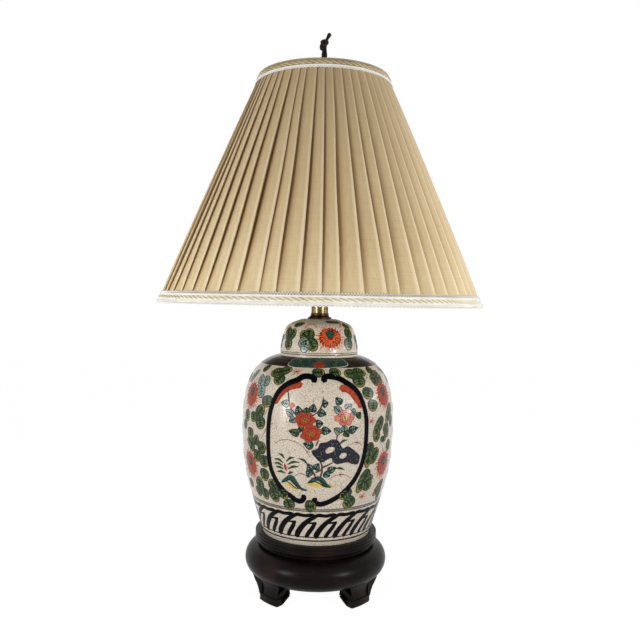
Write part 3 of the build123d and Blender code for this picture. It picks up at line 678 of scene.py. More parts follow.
class Brush:
    """Draws on a turned surface, with each stroke repeated at equal turns around it.

    Widths of strokes are in millimetres, and other sizes in metres.
    """

    LEAF_EDGE = 0.6 * MM
    LEAF_INSET = 0.2 * MM
    LEAF_STEPS = 10  # along each side of a leaf
    TIP_STEPS = 7  # along each side of its coloured tip
    ROUND_END = 0.8  # of half the width of a stroke
    TINY = 1e-12  # added to a length that divides

    def __init__(self, surface, turns=2):
        self.surface = surface
        self.shifts = [TAU * surface.reference * turn / turns for turn in range(turns)]

    def spots(self, pixels):
        return np.array([self.surface.seen(pixel) for pixel in pixels])

    def fill(self, paint, loops, lift):
        for shift in self.shifts:
            moved = [np.array(loop) + (shift, 0) for loop in loops]
            paint.plate(self.surface, moved, lift)

    def blob(self, paint, pixels, lift, holes=(), grow=0.0):
        """Smooth closed shape through pixels, grown outwards by a width."""
        loops = [smooth(self.spots(loop), steps=5, closed=True) for loop in (pixels, *holes)]
        if grow:
            loops[0] = self.grown(loops[0], grow)
        self.fill(paint, loops, lift)

    def grown(self, loop, width):
        """Closed loop moved outwards by a width across the surface."""
        ahead, behind = np.roll(loop, -1, axis=0), np.roll(loop, 1, axis=0)
        along = ahead - behind
        area = np.sum(loop[:, 0] * ahead[:, 1] - ahead[:, 0] * loop[:, 1])
        normal = np.stack([along[:, 1], -along[:, 0]], axis=1) * (1 if area > 0 else -1)
        return loop + normal / np.linalg.norm(normal, axis=1)[:, None] * width

    def line(self, paint, spots, widths, lift, steps=4):
        """Stroke through spots on the chart, with its widths spread evenly along it and round ends."""
        path = smooth(spots, steps)
        widths = [width * MM for width in widths]
        width = np.interp(np.linspace(0, 1, len(path)), np.linspace(0, 1, len(widths)), widths) / 2
        along = np.gradient(path, axis=0)
        along /= np.linalg.norm(along, axis=1)[:, None] + self.TINY
        side = np.stack([-along[:, 1], along[:, 0]], axis=1) * width[:, None]
        stretch = np.array([self.surface.widen(spot[1]) for spot in path])
        side[:, 0] *= stretch
        start_cap = path[:1] - along[:1] * width[0] * self.ROUND_END
        end_cap = path[-1:] + along[-1:] * width[-1] * self.ROUND_END
        self.fill(paint, [np.vstack([start_cap, path - side, end_cap, (path + side)[::-1]])], lift)

    def strokes(self, paint, paths, widths, lift):
        for pixels in paths:
            self.line(paint, self.spots(pixels), widths, lift)

    def local(self, centre, angle, points):
        """Points of a motif, in metres about its centre, turned and laid on the chart."""
        points = np.array(points, dtype=float)
        cosine, sine = math.cos(angle), math.sin(angle)
        across = points[:, 0] * cosine - points[:, 1] * sine
        up = points[:, 0] * sine + points[:, 1] * cosine
        return np.stack([centre[0] + across * self.surface.widen(centre[1]), centre[1] + up], axis=1)

    def lobe(self, start, end, width, paint=leaf, tip=olive, pointed=False):
        """Leaf from its base to its tip, given as spots: outline, coloured tip, wash and veins."""
        run = np.array(end) - np.array(start)
        run[0] /= self.surface.widen((start[1] + end[1]) / 2)
        length, angle = float(np.hypot(*run)), math.atan2(run[1], run[0])
        lean, taper = (0.62, 0.95) if pointed else (0.8, 0.5)

        def half_width(share):
            shape = np.sin(math.pi * np.clip(share, 0, 1) ** lean)
            return width / 2 * np.clip(shape, 0, 1) ** taper

        def oval(grow):
            share = 0.5 - 0.5 * np.cos(math.pi * np.linspace(0, 1, self.LEAF_STEPS))
            along = share * (length + 2 * grow) - grow
            half = half_width(share) + grow
            half[[0, -1]] = 0
            upper = list(zip(along, half))
            lower = list(zip(along[::-1], -half[::-1]))
            return self.local(start, angle, upper + lower[1:-1])[::-1]

        def crescent():
            share = np.linspace(0.7, 1, self.TIP_STEPS)
            half = np.clip(half_width(share) - self.LEAF_INSET, 0, None)
            along = share * (length - self.LEAF_INSET)
            inner = [(length * 0.8, half[0] * -0.55), (length * 0.86, 0), (length * 0.8, half[0] * 0.55)]
            edge = list(zip(along, half)) + list(zip(along[::-1], -half[::-1]))[1:]
            return self.local(start, angle, edge + inner)[::-1]

        def pairs(paint, shares, behind, ahead, inner, outer, widths, lift):
            """Short strokes on both sides, at shares of the length and between shares of the half width."""
            for share in shares:
                half = float(half_width(share))
                for side in (-half, half):
                    base, tip = length * (share - behind), length * (share + ahead)
                    ends = [(base, side * inner), (tip, side * outer)]
                    self.line(paint, self.local(start, angle, ends), widths, lift, steps=2)

        self.fill(ink, [oval(self.LEAF_EDGE)], LINE)
        self.fill(paint, [oval(-self.LEAF_INSET)], FILL)
        if tip:
            self.fill(tip, [crescent()], DETAIL)
        shine = moss if paint is leaf else mint
        wash = {"behind": 0.08, "ahead": 0.08, "inner": 0.28, "outer": 0.74, "widths": (0.9, 1.4, 0.6)}
        pairs(shine, (0.42, 0.62), **wash, lift=DETAIL)
        spine = self.local(start, angle, [(length * 0.04, 0), (length * 0.88, 0)])
        self.line(ink, spine, (1.1, 0.6), TOP)
        veins = {"behind": 0.06, "ahead": 0.1, "inner": 0, "outer": 0.8, "widths": (0.8, 0.45)}
        pairs(ink, (0.3, 0.52, 0.72), **veins, lift=TOP)

    def leaves(self, leaves, width=None, **style):
        """Leaves by the pixels of their bases and tips, with one width in millimetres or each its own."""
        for x0, y0, x1, y1, *own in leaves:
            start, end = self.spots([(x0, y0), (x1, y1)])
            self.lobe(start, end, (own[0] if own else width) * MM, **style)

    def petals(self, paint, centre, radius, count, depth, lift, squash=1.0, angle=0.0):
        """Round shape with a scalloped edge."""
        points = []
        for step in range(count * 6):
            bearing = TAU * step / (count * 6)
            length = radius * (1 - depth + depth * abs(math.cos(bearing * count / 2)))
            points.append((length * math.cos(bearing), length * squash * math.sin(bearing)))
        self.fill(paint, [self.local(centre, angle, points)], lift)

    def rays(self, paint, centre, inner, outer, count, width, lift, squash=1.0, jitter=0.0, seed=1):
        """Short strokes that stand out from a centre."""
        chance = random.Random(seed)
        for step in range(count):
            bearing = TAU * (step + chance.uniform(-jitter, jitter)) / count
            far = outer * (1 + chance.uniform(-jitter, jitter))
            ends = [(size * math.cos(bearing), size * squash * math.sin(bearing)) for size in (inner, far)]
            self.line(paint, self.local(centre, 0, ends), (width, width / 2), lift, steps=2)

    def chrysanthemum(self, pixel, radius, eye_up=0.22, squash=1.0, paint=red):
        """Shaggy round flower with a dark heart and a green eye."""
        centre = self.surface.seen(pixel)

        def shag(paint, inner, outer, count, width, lift, jitter, seed):
            """Strokes between two shares of the radius."""
            self.rays(paint, centre, radius * inner, radius * outer, count, width, lift, squash, jitter, seed)

        shag(rose, 0.7, 1.2, 34, 0.9, LINE, 0.3, 1)
        self.petals(crimson, centre, radius * 0.88, count=19, depth=0.14, lift=FILL, squash=squash)
        shag(paint, 0.25, 0.98, 25, 1.9, FILL + COAT, 0.14, 2)
        shag(orange, 0.55, 0.92, 17, 0.8, DETAIL, 0.25, 3)
        shag(crimson, 0.25, 0.72, 15, 0.6, DETAIL, 0.25, 4)
        eye = centre + (0, radius * eye_up)
        self.petals(ink, eye, radius * 0.33, count=7, depth=0.1, lift=DETAIL)
        self.petals(teal, eye, radius * 0.27, count=7, depth=0.12, lift=TOP)

    def peony(self, pixel, radius, paint, squash, angle):
        """Open flower with a few broad petals, seams between them and a dark heart."""
        centre = self.surface.seen(pixel)
        count, depth, turned_on = 6, 0.2, angle + 0.5
        self.petals(ink, centre, radius + 0.55 * MM, count, 0.18, LINE, squash, angle)
        self.petals(paint, centre, radius, count, depth, FILL, squash, angle)
        self.petals(crimson, centre, radius * 0.66, count, depth, DETAIL, squash, turned_on)
        self.petals(paint, centre, radius * 0.58, count, depth, TOP, squash, turned_on)
        self.rays(crimson, centre, radius * 0.3, radius * 0.9, 9, 0.7, TOP, squash, 0.16, seed=5)
        self.petals(ink, centre, radius * 0.25, count, depth, TOP + COAT, squash)
        self.rays(sand, centre, radius * 0.1, radius * 0.26, count, 0.7, TOP + 2 * COAT, squash, 0.2, seed=6)

    def feather(self, pixel, radius, seed):
        """Spiky leaf drawn in fine pale red strokes."""
        centre = self.surface.seen(pixel)
        heart, shape = 0.4 * MM, {"count": 9, "squash": 0.8, "seed": seed}
        self.rays(rose, centre, heart, radius, width=1.1, lift=LINE, jitter=0.25, **shape)
        self.rays(crimson, centre, heart, radius * 0.8, width=0.3, lift=FILL, jitter=0.3, **shape)


jar_brush = Brush(jar_surface)
lid_brush = Brush(lid_surface)

# Panel on the front and back of the jar: a navy frame, by pixels of the photograph

FRAME_LEFT = [
    (315, 381), (312, 377), (304, 376.4), (297, 380), (288, 383.6), (280, 390), (274, 400), (270, 414),
    (268.4, 430), (268.4, 450), (270.4, 466), (275, 478), (283, 490), (291, 496), (296, 500), (301, 501),
    (304, 498), (303, 496),
]  # fmt: skip
FRAME_RIGHT = [
    (324, 381), (325, 377), (330, 376.4), (338, 378), (346, 382.4), (354, 388), (360, 396), (364.4, 408),
    (366.4, 420), (366.4, 434), (365, 450), (361, 466), (354, 480), (344, 492), (334, 499), (324, 503.6),
    (318, 504), (314.4, 501), (315.6, 499),
]  # fmt: skip
CLOUDS = [
    [(276, 402.5), (278.5, 397), (282.5, 392), (287.5, 388), (293, 385.6), (300.5, 384.4)],
    [(360.5, 407), (358.5, 402), (355, 397), (351, 392), (346, 388.6), (341.5, 388.4)],
]
FRAME_WIDTHS = (7.6, 8.4, 7.4, 6.6, 6.6, 6.6, 6.8, 7.0, 6.4)
CLOUD_WIDTHS = (4.4, 6.4, 7.2, 6.8, 8.4, 8.0)
CLOUD_EDGE = 1.2

jar_brush.strokes(navy, (FRAME_LEFT, FRAME_RIGHT), FRAME_WIDTHS, DETAIL)
jar_brush.strokes(crimson, CLOUDS, [width + CLOUD_EDGE for width in CLOUD_WIDTHS], LINE)
jar_brush.strokes(red, CLOUDS, CLOUD_WIDTHS, FILL)

# Flowering branches in the panel

BRANCHES = [
    [(287.5, 389), (288.8, 396), (289.6, 405.8), (293, 411), (297, 416.5)],
    [(323.5, 397.5), (322.6, 403), (320.5, 408.5), (317.3, 412.6), (313, 415.6)],
    [(336.5, 440), (337.4, 435.6), (340.5, 432.8), (345.5, 430.5)],
    [(315.8, 446), (317, 443.5), (318.6, 440.6)],
]
PANEL_TEAL = [
    (299.5, 414.5, 297.4, 406), (312, 412, 314, 404.2), (316, 424, 323, 423.4), (321.5, 430.5, 331, 431.2),
    (313, 446.5, 303.5, 443.5), (301.5, 431, 298.5, 427.8), (341, 404, 336, 397.6), (349, 431, 357.5, 427.6),
    (322.5, 404, 328, 403.2), (318, 412, 326, 414.4),
]  # fmt: skip
PANEL_MINT = [
    (289, 404, 281.5, 402.6), (292.5, 415, 286, 409.6), (295, 418.5, 289.4, 421.5), (341, 412, 334, 407),
    (345.5, 409, 351.8, 404.6), (351, 410.5, 356, 414.5), (340.5, 433, 334.2, 428.4),
    (344.5, 430.8, 344, 425),
]  # fmt: skip
PANEL_GREEN = [
    (299, 434, 289, 430.6), (306.5, 413.5, 306.4, 407.6), (357, 417.5, 360.6, 412.4),
    (345, 431.5, 348.6, 436.6),
]  # fmt: skip
# Pixel, radius in millimetres, paint, height for its width, and turn
PEONIES = [
    ((305, 420), 13.2, red, 0.74, 0.0),
    ((311, 434), 13.4, red, 0.74, 0.3),
    ((345.5, 417.6), 11.8, rose, 0.86, 0.0),
]
PEONY_EYE = (345, 417.6)
PEONY_EYE_RADIUS = 3.3 * MM
PEONY_EYE_LIFT = TOP + 0.05 * MM
BUDS = [((337, 418.4), 4.2), ((292.4, 405.2), 3.6)]

jar_brush.strokes(brown, BRANCHES, (1.5, 2.0, 1.6), LINE)
for leaves, paint, width in ((PANEL_TEAL, teal, 9.5), (PANEL_MINT, mint, 9), (PANEL_GREEN, leaf, 9)):
    jar_brush.leaves(leaves, width, paint=paint, tip=None, pointed=True)
for pixel, radius, paint, squash, angle in PEONIES:
    jar_brush.peony(pixel, radius * MM, paint, squash, angle)
peony_eye = jar_surface.seen(PEONY_EYE)
jar_brush.petals(sand, peony_eye, PEONY_EYE_RADIUS, count=6, depth=0.2, lift=PEONY_EYE_LIFT)
for pixel, radius in BUDS:
    jar_brush.petals(rose, jar_surface.seen(pixel), radius * MM, count=3, depth=0.2, lift=FILL)

# Rock with two holes, and the ground with its plants

ROCK = [
    (311.3, 451.7), (317.5, 448.3), (320, 443.3), (326.7, 442), (332.5, 439.2), (338.3, 440.8),
    (341.7, 446.7), (343.3, 448.3), (347.5, 446.3), (351.7, 448.3), (359.2, 455), (359.2, 460),
    (357.5, 464.2), (352.5, 464.2), (347.5, 462.5), (341.7, 463.3), (336.7, 464.2), (332.5, 461.7),
    (331.7, 458.3), (328.3, 459.2), (321.7, 462.5), (316.7, 459.2),
]  # fmt: skip
ROCK_HOLES = [
    [(325.3, 451), (328.4, 447.6), (333.6, 447.2), (334.6, 449.6), (331, 452.6), (327, 453.4)],
    [(339.4, 456.4), (341.6, 453.4), (345.6, 453), (346.6, 455.2), (344, 458), (340.6, 458.4)],
]
HILLS = [
    [(281.8, 481.4), (288.6, 475.5), (293.2, 476.4), (296.8, 481.4), (301.4, 487.7), (306.8, 490),
     (303.2, 490.5), (297.7, 487.7), (293.2, 483.2), (289.5, 480), (284.5, 481.8)],
    [(308.2, 482.3), (314, 477.7), (319.5, 476.8), (324, 479.5), (327.7, 485), (330.5, 487.3), (325, 486.8),
     (321.4, 483.2), (317.7, 480.5), (311.4, 482.7)],
]  # fmt: skip
SANDS = [
    [(284.5, 483.2), (290.5, 482.7), (295, 487.7), (301.4, 489.5), (296, 489.8), (288.6, 486.4)],
    [(307.7, 484), (316, 481.8), (323.2, 486), (330.5, 485), (336.8, 486.4), (327.7, 487.7), (319.5, 487.3),
     (310.5, 486)],
]  # fmt: skip
RIDGES = [
    [(281.6, 482.6), (286, 481), (291, 484), (295.6, 487.8), (300.6, 488.6)],
    [(284, 478.6), (290, 479.4), (295, 484), (299.6, 486.6)],
    [(306.4, 483.4), (312, 481.4), (318.6, 482.8), (324.6, 486.8), (331, 487.4)],
    [(311, 478.6), (317, 478.6), (323, 482.8), (329.6, 485)],
]
GRASS = [
    [(284.5, 458.6), (282, 455), (279, 453.2)], [(283.2, 462.7), (279, 459.4), (274.5, 458.6)],
    [(282.7, 465.5), (278.6, 463.2), (274.5, 462.7)], [(283.6, 469), (280, 467), (276, 466.8)],
    [(285.5, 473), (281, 471.2), (277.3, 471.4)], [(286.4, 461.4), (290, 458), (294.5, 457.7)],
    [(287.7, 464.5), (293, 462), (299.5, 462.3)], [(288.2, 469), (293, 466.6), (298.6, 466.8)],
    [(288.2, 474), (290.5, 472.4), (293.2, 472.3)], [(299, 458.6), (304, 460.4), (308.5, 466)],
    [(336, 468.4), (340, 468.2), (344.4, 469.6)], [(340, 444), (343, 441), (347.4, 439.8)],
]  # fmt: skip
TRUNKS = [
    [(315, 476.4), (314, 473.6), (312.7, 471)],
    [(320.5, 476.6), (322, 471), (321.6, 465), (318.8, 459)],
    [(321.4, 468), (326, 466), (332.4, 462.8)], [(321, 470), (318, 471.4), (315.6, 472.4)],
]  # fmt: skip
GROUND_LEAVES = [
    (311.4, 471, 308, 463.8), (315, 469.6, 318.6, 463.6), (310.6, 470, 307.6, 477.2),
    (328, 471.4, 335.6, 467.6), (324, 473.2, 329.6, 476.2),
]  # fmt: skip
TENDRILS = [
    [(275, 443), (280, 440.4), (287.5, 439.6), (296.7, 442.5), (304, 448), (310.8, 458)],
    [(294, 476.4), (299.5, 473.6), (305, 475), (308.6, 477.7)],
    [(327.7, 480), (334, 476), (340.5, 474.5), (346.8, 475.5), (350.5, 478.6)],
    [(350, 445), (354, 442.6), (358, 442.4), (361.4, 445)],
]
CROSSES = [(307, 451.7), (340.2, 474.6), (356.4, 442.6)]
CROSS_RADII = (0.2 * MM, 3.0 * MM)  # inner and outer ends of its strokes
RED_STALK = [(284.6, 463.6), (285.4, 467), (286.4, 470.4)]
FLECKS = 110
FLECK_RADII = (0.2 * MM, 0.42 * MM)
HILL_EDGE = 0.5 * MM

jar_brush.blob(rock, ROCK, FILL, ROCK_HOLES)
rock_edges = [jar_brush.spots(loop) for loop in (ROCK, *ROCK_HOLES)]
rock_span = list(zip(rock_edges[0].min(axis=0), rock_edges[0].max(axis=0)))
fleck_chance = random.Random(11)
for _ in range(FLECKS):
    fleck = np.array([[fleck_chance.uniform(low, high) for low, high in rock_span]])
    if inside(fleck, rock_edges)[0]:
        radius = fleck_chance.uniform(*FLECK_RADII)
        jar_brush.petals(sand, fleck[0], radius, count=3, depth=0.2, lift=DETAIL)
for sand_bank in SANDS:
    jar_brush.blob(sand, sand_bank, LINE)
for hill in HILLS:
    jar_brush.blob(ink, hill, LINE, grow=HILL_EDGE)
    jar_brush.blob(teal, hill, FILL)
jar_brush.strokes(ink, RIDGES, (0.6, 1.5, 0.7), DETAIL)
jar_brush.strokes(ink, GRASS, (1.2, 3.4, 0.9), LINE)
jar_brush.strokes(leaf, GRASS, (0.5, 2.5, 0.4), FILL)
jar_brush.strokes(brown, TRUNKS, (2.2, 2.4, 1.5), LINE)
jar_brush.leaves(GROUND_LEAVES, 8.5, paint=teal, tip=None, pointed=True)
jar_brush.strokes(red, [RED_STALK], (1.4, 3.6, 2.0), FILL)
jar_brush.strokes(crimson, TENDRILS, (0.5, 0.8, 0.5), LINE)
for cross in CROSSES:
    centre = jar_surface.seen(cross)
    jar_brush.rays(crimson, centre, *CROSS_RADII, count=5, width=0.7, lift=FILL, jitter=0.3, seed=8)

# Leaves and flowers around the panel

AROUND_GREEN = [
    (263.5, 370.5, 272, 364.6, 10), (283, 372, 271.4, 372.6, 14), (280, 371.6, 292.6, 369, 13),
    (283, 374.4, 275.6, 383.6, 16.5), (267.2, 395.6, 267.2, 407.2, 17.5), (256.6, 415.8, 264.4, 406.4, 16),
    (254, 411.6, 253.4, 421.8, 14), (259.6, 417, 261.2, 429, 18), (247, 409.6, 248.4, 420.6, 15.5),
    (245.2, 419, 246.2, 428.6, 14), (250.6, 427.6, 250.4, 437.4, 15.5), (255.4, 444.4, 257, 435.4, 12),
    (253.8, 445, 248, 437.4, 15.5), (252.8, 441.6, 251.2, 450.4, 14), (258.4, 449.4, 265.2, 445.6, 16),
    (257.8, 450.4, 256.2, 460.6, 14.5), (263.4, 455.4, 265, 467, 18), (264, 468.6, 265.2, 480.6, 15.5),
    (260, 488.4, 260, 477.2, 15.5), (258.4, 486.4, 260, 495.4, 13.5), (264, 488, 267, 499, 13.5),
    (275.4, 488.4, 270, 479.4, 15.5), (272, 488, 277, 502, 16), (277, 486.6, 287.6, 498.6, 14.5),
    (287.2, 499.6, 291.4, 509.4, 15.5), (250.4, 478, 252.8, 487, 15.5), (355.4, 372.8, 344.4, 374.4, 14),
    (353, 372, 365, 372.4, 13.5), (357.4, 375.8, 360.8, 387.2, 18.5), (365.8, 368.2, 373.6, 373, 12),
    (375.8, 378, 375.8, 371, 12), (375.2, 378, 370, 378.8, 11.5), (374.8, 378.8, 374.2, 384.4, 14),
    (375.8, 378, 381.4, 378.2, 15.5), (367.9, 387.6, 367.9, 399.2, 18), (372.9, 399.8, 372.9, 411.2, 17.5),
    (382.6, 416.8, 373.4, 436.4, 14), (384.6, 424, 387.4, 436, 15.5), (377.4, 431, 375.6, 441.6, 13.5),
    (390, 403.6, 385.8, 422.4, 15.5), (390.8, 414.6, 390, 426.4, 14), (389.2, 440, 386.2, 450.4, 14),
    (371.2, 442.4, 366.2, 467.8, 14.5), (372.2, 457, 378.2, 448.4, 13.5), (371.8, 455.6, 374.4, 462, 16),
    (368.8, 469.2, 356.6, 492.8, 16), (364, 482.6, 372.6, 476.4, 13.5), (365.6, 481.4, 368.8, 489, 16),
    (382.6, 480, 372.4, 495.4, 13.5), (380, 486.4, 376, 499.4, 13), (350.8, 489, 339.6, 498.6, 13.5),
    (353.8, 497.4, 343.4, 507, 16.5), (305.4, 506.2, 316, 506.2, 16.5), (312.4, 372.6, 324.6, 372.2, 14.5),
    (329.4, 372.6, 340.6, 372.2, 14.5), (383.4, 436, 383, 442, 14),
]  # fmt: skip
AROUND_MINT = [
    (260.8, 386.4, 262.4, 374.6, 12.5), (264, 385.2, 269.2, 376.2, 14.5), (261.6, 385, 261.2, 397.8, 14.5),
    (250.6, 380.4, 260.6, 370.4, 10.5), (375.8, 366.4, 383.4, 373, 9),
]  # fmt: skip
FLOWERS = [(252, 394), (250.8, 463), (383.2, 394), (383, 463)]
FEATHERS = [(371.4, 421.3), (362, 496.4), (297, 371.6)]
AROUND_TENDRILS = [
    [(268, 421), (265.6, 430), (261.4, 438)], [(379.4, 441), (382.4, 447), (383, 454)],
    [(269, 408), (266, 412), (265, 417)], [(363, 384.6), (366, 379), (367, 374)],
    [(256, 471), (258.4, 476), (258, 481)], [(376, 469), (379, 473), (379.4, 479)],
]  # fmt: skip
FLOWER_RADIUS = 17 * MM
FEATHER_RADIUS = 6.5 * MM
SIDE_LEAF_WIDTH = 13 * MM

jar_brush.leaves(AROUND_GREEN)
jar_brush.leaves(AROUND_MINT, paint=mint, tip=None)
for flower in FLOWERS:
    jar_brush.chrysanthemum(flower, FLOWER_RADIUS)
for number, feather in enumerate(FEATHERS):
    jar_brush.feather(feather, FEATHER_RADIUS, seed=20 + number)
jar_brush.strokes(crimson, AROUND_TENDRILS, (0.4, 0.7, 0.4), LINE)

# Leaves at the sides, which the photograph sees edge on, as (degrees, height) of base and tip
SIDE_LEAVES = [
    (88, 150, 80, 163), (92, 148, 99, 160), (90, 172, 83, 184), (92, 174, 99, 184), (90, 206, 84, 218),
    (91, 208, 98, 219), (90, 204, 90, 190), (90, 240, 83, 250), (92, 240, 98, 251), (90, 258, 90, 272),
    (86, 280, 78, 286), (94, 280, 102, 286), (90, 136, 82, 142), (91, 136, 98, 143),
]  # fmt: skip
SIDE_STEMS = [
    [(90, 140), (91, 160), (90, 176)], [(90, 196), (89, 226), (90, 256)], [(90, 262), (90, 274), (88, 282)],
]  # fmt: skip


def side_spot(degree, height):
    return np.array([math.radians(degree) * jar_surface.reference, jar_surface.level(height * MM)])


for stem in SIDE_STEMS:
    jar_brush.line(crimson, [side_spot(*spot) for spot in stem], (0.5, 0.9, 0.5), LINE)
for degree0, height0, degree1, height1 in SIDE_LEAVES:
    jar_brush.lobe(side_spot(degree0, height0), side_spot(degree1, height1), SIDE_LEAF_WIDTH)

# Collar round the lid, with a lobed panel at the front and back

COLLAR_EDGE = 302.5 * MM
COLLAR_PANEL = [
    (288.4, 364.4), (291.4, 361.2), (296, 358.4), (306, 358.2), (318, 358), (330, 358.2), (340, 358.4),
    (344.6, 361.2), (347.6, 364.4), (343, 366.6), (331, 367.6), (318, 368), (305, 367.6), (293, 366.6),
]  # fmt: skip
COLLAR_LEAVES = [
    (305, 362, 296, 361), (308, 365, 298, 365.4), (331, 362, 340, 361), (329, 365, 340, 365.4),
    (312, 361, 318, 359.4),
]  # fmt: skip
COLLAR_FLOWER = (319.3, 365)
COLLAR_FLOWER_RADIUS = 8 * MM
COLLAR_SEAMS = (1.5 * MM, 7 * MM)  # inner and outer ends of the seams between its petals
COLLAR_PANEL_EDGE = 1.0 * MM
COLLAR_LINES = (2.0 * MM, 1.1 * MM)  # feet of a pale and a brown line, under the edge

collar_low = jar_surface.level(COLLAR_EDGE)
pale_low, brown_low = (collar_low - drop for drop in COLLAR_LINES)
charcoal.band(jar_surface, collar_low, jar_surface.along[-1], WASH)
brown.band(jar_surface, brown_low, collar_low, LINE)
pearl.band(jar_surface, pale_low, brown_low, WASH)
jar_brush.blob(pearl, COLLAR_PANEL, LINE, grow=COLLAR_PANEL_EDGE)
jar_brush.blob(teal, COLLAR_PANEL, FILL)
jar_brush.leaves(COLLAR_LEAVES, 6, tip=None)
collar_spot = jar_surface.seen(COLLAR_FLOWER)
jar_brush.petals(red, collar_spot, COLLAR_FLOWER_RADIUS, count=9, depth=0.2, lift=DETAIL, squash=0.8)
jar_brush.rays(crimson, collar_spot, *COLLAR_SEAMS, count=9, width=0.5, lift=TOP, squash=0.8)

# Scrolled border above the foot: lines all round, and slanted strokes repeated by turns

BORDER_TURNS = 20
BORDER_FOOT = 91.2 * MM
BORDER_WAIST = 16 * MM  # above the foot, where the strokes have their true width
PITCH_HEIGHT = 20 * MM  # above the foot, where the pitch is measured
border_brush = Brush(jar_surface, BORDER_TURNS)
border_base = np.array([0.0, jar_surface.level(BORDER_FOOT)])
pitch = TAU * jar_surface.read(jar_surface.radius, border_base[1] + PITCH_HEIGHT) / BORDER_TURNS / MM

# Strokes of one unit in millimetres from its foot, and their widths
BORDER_STROKES = [
    ([(24, 29.6), (17.6, 25.2), (10.8, 18.8), (5.2, 11.4), (1.4, 4.8), (0, 0.4)], (5.0, 6.2, 6.8, 7.2, 6.6)),
    ([(14.6, 19.4), (19, 20.4), (25, 20.2)], (0.6, 2.6, 4.2)),
    ([(24.8, 21.6), (21.2, 14.4), (15.8, 6), (12.8, 0.4)], (3.2, 5.4, 5.4, 5.0)),
    (
        [(24, 29.8), (28.4, 31.8), (pitch / 2 + 24, 30.8), (pitch + 19.6, 31.8), (pitch + 24, 29.8)],
        (4.8, 5.2, 4.6, 5.2, 4.8),
    ),
]
for points, widths in BORDER_STROKES:
    points = np.array(points) * MM - (0, BORDER_WAIST)
    border_brush.line(navy, border_brush.local(border_base + (0, BORDER_WAIST), 0, points), widths, DETAIL)

BORDER_LINES = [
    (navy, 90.4, 91.8), (navy, 85.2, 87.0), (ink, 129.0, 129.7), (celadon, 126.8, 129.0), (ink, 126.0, 126.8),
]  # fmt: skip
for paint, low, high in BORDER_LINES:
    paint.band(jar_surface, jar_surface.level(low * MM), jar_surface.level(high * MM), LINE)

# Lid: flowers and leaves at the front and back, and lines round its rim

LID_GREEN = [
    (288.8, 338.6, 289.2, 327, 15), (289.6, 338, 296, 329.4, 13.5), (288.4, 338, 288.8, 349.4, 15),
    (308.6, 339.4, 301.4, 331.6, 15), (309, 339, 309.4, 328.6, 15), (309, 339, 315, 350.6, 15.5),
    (347.7, 338, 348, 328, 16), (348.2, 338.4, 348.6, 350.2, 16), (295, 325, 305, 323.4, 10),
    (326, 322, 339.5, 322.2, 9), (342, 324.4, 348.8, 327.4, 11),
]  # fmt: skip
LID_MINT = [(308, 340, 298.8, 344.8, 13), (306, 341, 303.4, 352.4, 13)]
LID_TENDRILS = [
    [(304.6, 328.6), (309, 324.6), (313, 324), (317, 327.4)], [(339.6, 328), (340.2, 325), (339.4, 322.6)],
]  # fmt: skip
LID_FLOWER = (330.4, 337.6)
LID_FLOWER_RADIUS = 18 * MM
LID_LINES = [(2.6, 3.7), (5.2, 5.9)]
LID_SIDES = (78, 100)  # degrees from the front
LID_SPRAY = [(-7, 9), (7, 9), (1, -10)]  # tips of its leaves from their foot, in millimetres
LID_SPRAY_FOOT = 18 * MM  # above the rim
LID_SPRAY_WIDTH = 9 * MM

lid_brush.leaves(LID_GREEN)
lid_brush.leaves(LID_MINT, paint=mint, tip=None)
lid_brush.chrysanthemum(LID_FLOWER, LID_FLOWER_RADIUS, eye_up=0.26, squash=0.86, paint=orange)
lid_brush.strokes(rose, LID_TENDRILS, (1.6, 2.2, 1.2), LINE)
for degree in LID_SIDES:
    foot = np.array([math.radians(degree) * lid_surface.reference, lid_surface.level(ledge + LID_SPRAY_FOOT)])
    for across, up in LID_SPRAY:
        lid_brush.lobe(foot, foot + (across * MM, up * MM), LID_SPRAY_WIDTH)
for low, high in LID_LINES:
    ink.band(lid_surface, lid_surface.level(ledge + low * MM), lid_surface.level(ledge + high * MM), LINE)

for enamel in Enamel.made:
    enamel.build()

# Shade: knife-pleated cover, lining and braid

cover_low, cover_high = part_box("shade_cover")
lining_low, lining_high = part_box("shade_lining")
trim_box = {"top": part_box("shade_trim_top"), "bottom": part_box("shade_trim_bottom")}
fold_low = reach("shade_cover", cover_low.z)
fold_high = reach("shade_cover", cover_high.z)
shade_lean = (fold_low - fold_high) / (cover_high.z - cover_low.z)
shade_cosine = 1 / math.hypot(1, shade_lean)
PLEATS = 56
PLEAT_DEPTH = 6.2 * MM  # between the trims, which press the folds flat
PLEAT_RISE = 2.2 * MM  # of a fold off the plain cone, there too
PLEAT_ROWS = 41
CLOTH = 0.4 * MM
TRIM_SHARE = 0.04  # of the slant, under each trim
TRIM_PRESS = 0.4  # of a pleat's depth, left at the trims
PLEAT_SHIFTS = (0.09, 0.08)  # spread of the folds at the bottom and the top, in pleats
PLEAT_DEPTHS = (0.66, 1.0)  # of PLEAT_DEPTH
PLEAT_RISES = (0.4, 1.0)  # of PLEAT_RISE
PLEAT_SWAY = 0.05  # of a fold between its ends, in pleats
SWAY_WAVES = (0.7, 1.6)


def fold_radius(height):
    return fold_low + (cover_low.z - height) * shade_lean


# Section of a pleat: share of its width, and share of its depth from its root to its fold
PLEAT_SECTION = [
    (0.00, 0.02), (0.07, 0.10), (0.17, 0.25), (0.30, 0.44), (0.46, 0.62), (0.64, 0.76), (0.80, 0.87),
    (0.91, 0.96), (0.97, 1.00), (1.01, 0.98), (1.035, 0.90), (1.04, 0.76), (1.02, 0.52), (0.99, 0.28),
    (0.97, 0.10), (0.975, 0.02),
]  # fmt: skip


